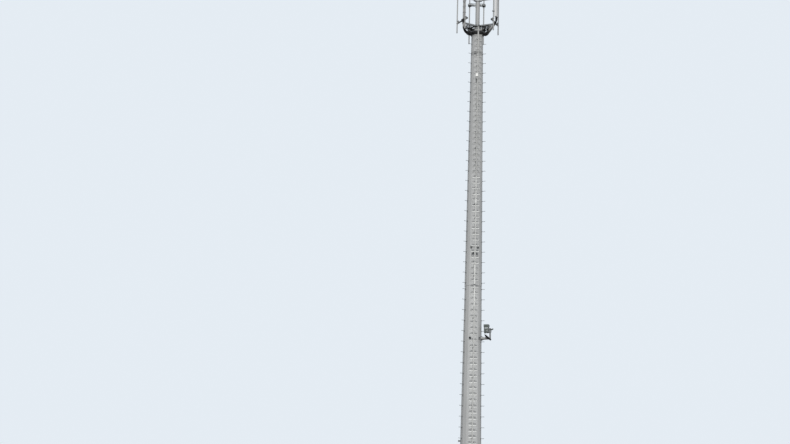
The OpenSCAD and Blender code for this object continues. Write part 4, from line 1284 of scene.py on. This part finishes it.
def antenna_shell(place, width, height):
    """An antenna's shell, with a bowed face, eased corners and a seam at each end cap."""
    bm = bmesh.new()
    bow, cap, seam = PANEL_D * 0.3, 0.022, 0.004
    radius = (width ** 2 / 4 + bow ** 2) / 2 / bow
    reach = math.asin(width / 2 / radius)
    arc = [(radius * math.sin(a), radius - PANEL_REACH - PANEL_D - radius * math.cos(a))
           for a in (reach * (k / 6 - 1) for k in range(13))]
    outline = arc + [(width / 2, -PANEL_REACH), (-width / 2, -PANEL_REACH)]
    face = bm.faces.new([bm.verts.new(place @ Vector((x, y, 0.0))) for x, y in outline])
    raised = bmesh.ops.extrude_face_region(bm, geom=[face])["geom"]
    top = [g for g in raised if isinstance(g, bmesh.types.BMVert)]
    bmesh.ops.translate(bm, vec=(0.0, 0.0, height), verts=top)
    uprights = [e for e in bm.edges if abs(e.verts[0].co.z - e.verts[1].co.z) > height / 2
                and e.calc_face_angle(0.0) > 0.5]
    bmesh.ops.bevel(bm, geom=uprights, offset=0.014, segments=4, profile=0.5,
                    affect="EDGES", material=-1)
    starts = (cap, height - cap)
    for z in starts:
        for cut in (z, z + seam):
            bmesh.ops.bisect_plane(bm, geom=bm.verts[:] + bm.edges[:] + bm.faces[:],
                                   plane_co=place @ Vector((0, 0, cut)), plane_no=(0, 0, 1))
    middles = [place.translation.z + z + seam / 2 for z in starts]
    seams = [f for f in bm.faces if abs(f.normal.z) < 0.5
             and min(abs(f.calc_center_median().z - z) for z in middles) < seam / 4]
    bmesh.ops.inset_region(bm, faces=seams, thickness=0.0008, depth=-0.003, use_even_offset=True)
    bmesh.ops.recalc_face_normals(bm, faces=bm.faces)
    return bm


class MONOPOLE_OT_antennas(bpy.types.Operator):
    """Dresses the two antennas with shells, end caps, sockets and clamp bolts"""

    bl_idname = "monopole.antennas"
    bl_label = "Antennas"

    def execute(self, context):
        trim = bmesh.new()
        metal = bmesh.new()
        for name, node, place, width, height, clamps in (
                ("tall_shell", "tall_panel", sector(RIGHT) @ shift(-PIPE_X, 0, TALL_Z),
                 TALL_W, TALL_H, (0.33, TALL_H - 0.18)),
                ("short_shell", "short_panel", sector(LEFT) @ shift(PIPE_X, 0, SHORT_Z),
                 SHORT_W, SHORT_H, (0.24, SHORT_H - 0.13))):
            bm = antenna_shell(place, width, height)
            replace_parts(piece(name, bm, "Antenna shell", 28), node)
            for column, row in CORNERS:
                socket = place @ shift(column * SOCKET_STEP, row * SOCKET_STEP - SOCKET_REACH, 0)
                drum(metal, socket @ shift(z=-0.034), 0.0195, 0.036, 16)
                drum(metal, socket @ shift(z=-0.012), 0.0235, 0.012, 8)
            for z in clamps:
                self.clamp(metal, place @ shift(0, -PIPE_REACH, z))
            slab(trim, place @ shift(0, -PANEL_REACH + 0.001, height / 2),
                 (width * 0.5, 0.004, height - 0.1), 0.001)
        piece("antenna_ribs", trim, "Antenna shell")
        piece("clamp_bolts", metal, "Fasteners")
        return {"FINISHED"}

    def clamp(self, bm, clamp):
        """The rods and bolts of a clamp that holds an antenna to its pipe."""
        for x in (-0.04, 0.04):
            drum(bm, clamp @ shift(x, 0.06, 0) @ OUTWARDS, 0.006, 0.12, 12)
            bolt(bm, clamp @ shift(x, PIPE_R + 0.016, 0) @ INWARDS, M12, 0.012)
            bolt(bm, clamp @ shift(x, -PIPE_R - 0.016, 0) @ OUTWARDS, M12)
        bolt_rows(bm, clamp, (-0.05, 0.05), -PIPE_R - 0.052, (-0.025, 0.025), M8, way=INWARDS)


class MONOPOLE_OT_studio(bpy.types.Operator):
    """Makes the floor, the light and the camera at the photograph's viewing angle"""

    bl_idname = "monopole.studio"
    bl_label = "Studio"

    def execute(self, context):
        scene = context.scene
        studio = scene.monopole_studio
        self.floor(scene, studio)
        self.light(scene, studio)
        self.camera(scene, studio)
        scene.view_settings.view_transform = "Standard"
        return {"FINISHED"}

    def floor(self, scene, studio):
        """A wide plain floor, which looks paler to the camera than it lights the mast."""
        bm = bmesh.new()
        bmesh.ops.create_circle(bm, cap_ends=True, segments=96, radius=FLOOR_R,
                                matrix=shift(z=FLOOR_Z))
        mesh = bpy.data.meshes.new("studio_floor")
        bm.to_mesh(mesh)
        bm.free()
        floor = bpy.data.objects.new("studio_floor", mesh)
        scene.collection.objects.link(floor)
        paint = Paint("Studio floor", {"Roughness": 0.9, "Specular IOR Level": 0.1})
        paint.finish(paint.mix(paint.seen_rays(), shade(studio.floor, 0.3), shade(studio.floor, 1.0)))
        mesh.materials.append(paint.material)

    def light(self, scene, studio):
        """The even light from all round, the backdrop that is seen in its place, and the lamp."""
        world = bpy.data.worlds.new("Studio light")
        world.use_nodes = True
        scene.world = world
        graph = Graph(world.node_tree)
        even = graph.nodes["Background"]
        even.inputs["Color"].default_value = SKY_COLOUR
        even.inputs["Strength"].default_value = studio.sky
        shown = graph.node("ShaderNodeBackground",
                           inputs={"Color": (*studio.backdrop, 1.0), "Strength": 1.0})
        choice = graph.node("ShaderNodeMixShader", inputs={
            0: graph.seen_rays(), 1: even.outputs[0], 2: shown.outputs[0]})
        graph.links.new(choice.outputs[0], graph.nodes["World Output"].inputs["Surface"])

        lamp = bpy.data.lights.new("Main lamp", "SUN")
        lamp.energy = studio.sun
        lamp.angle = math.radians(LAMP_SPREAD)
        lamp.color = LAMP_COLOUR
        sun = bpy.data.objects.new("Main lamp", lamp)
        sun.rotation_euler = (math.radians(90 - LAMP_HEIGHT), 0.0, math.radians(LAMP_TURN))
        scene.collection.objects.link(sun)

    def camera(self, scene, studio):
        """The camera, at the photograph's distance, height and angle."""
        lens = bpy.data.cameras.new("Camera")
        lens.lens = studio.lens
        lens.clip_end = 2000.0
        camera = bpy.data.objects.new("Camera", lens)
        scene.collection.objects.link(camera)
        camera.matrix_world = (
            shift(studio.offset, -studio.distance, studio.eye)
            @ Matrix.Rotation(studio.swing, 4, "Z")
            @ Matrix.Rotation(math.pi / 2 + studio.rise, 4, "X")
            @ Matrix.Rotation(studio.roll, 4, "Z"))
        scene.camera = camera


class MONOPOLE_PT_panel(bpy.types.Panel):
    """Lists the steps that dress the mast"""

    bl_label = "Monopole"
    bl_idname = "MONOPOLE_PT_panel"
    bl_space_type = "VIEW_3D"
    bl_region_type = "UI"
    bl_category = "Monopole"

    def draw(self, context):
        layout = self.layout
        for group in (context.scene.monopole_colours, context.scene.monopole_sizes,
                      context.scene.monopole_studio):
            column = layout.column(align=True)
            for name in group.__annotations__:
                column.prop(group, name)
        for step in STEPS:
            layout.operator(step.bl_idname)


STEPS = (
    MONOPOLE_OT_studio,
    MONOPOLE_OT_finishes,
    MONOPOLE_OT_foot,
    MONOPOLE_OT_hand_hole,
    MONOPOLE_OT_ladder,
    MONOPOLE_OT_pegs,
    MONOPOLE_OT_ports,
    MONOPOLE_OT_side_unit,
    MONOPOLE_OT_head,
    MONOPOLE_OT_jumpers,
    MONOPOLE_OT_antennas,
)
CLASSES = (MonopoleColours, MonopoleSizes, MonopoleStudio, *STEPS, MONOPOLE_PT_panel)


def register():
    for cls in CLASSES:
        bpy.utils.register_class(cls)
    bpy.types.Scene.monopole_colours = bpy.props.PointerProperty(type=MonopoleColours)
    bpy.types.Scene.monopole_sizes = bpy.props.PointerProperty(type=MonopoleSizes)
    bpy.types.Scene.monopole_studio = bpy.props.PointerProperty(type=MonopoleStudio)


def unregister():
    del bpy.types.Scene.monopole_studio
    del bpy.types.Scene.monopole_sizes
    del bpy.types.Scene.monopole_colours
    for cls in reversed(CLASSES):
        bpy.utils.unregister_class(cls)


def main():
    register()
    for step in STEPS:
        module, name = step.bl_idname.split(".")
        getattr(getattr(bpy.ops, module), name)()


if __name__ == "__main__":
    main()
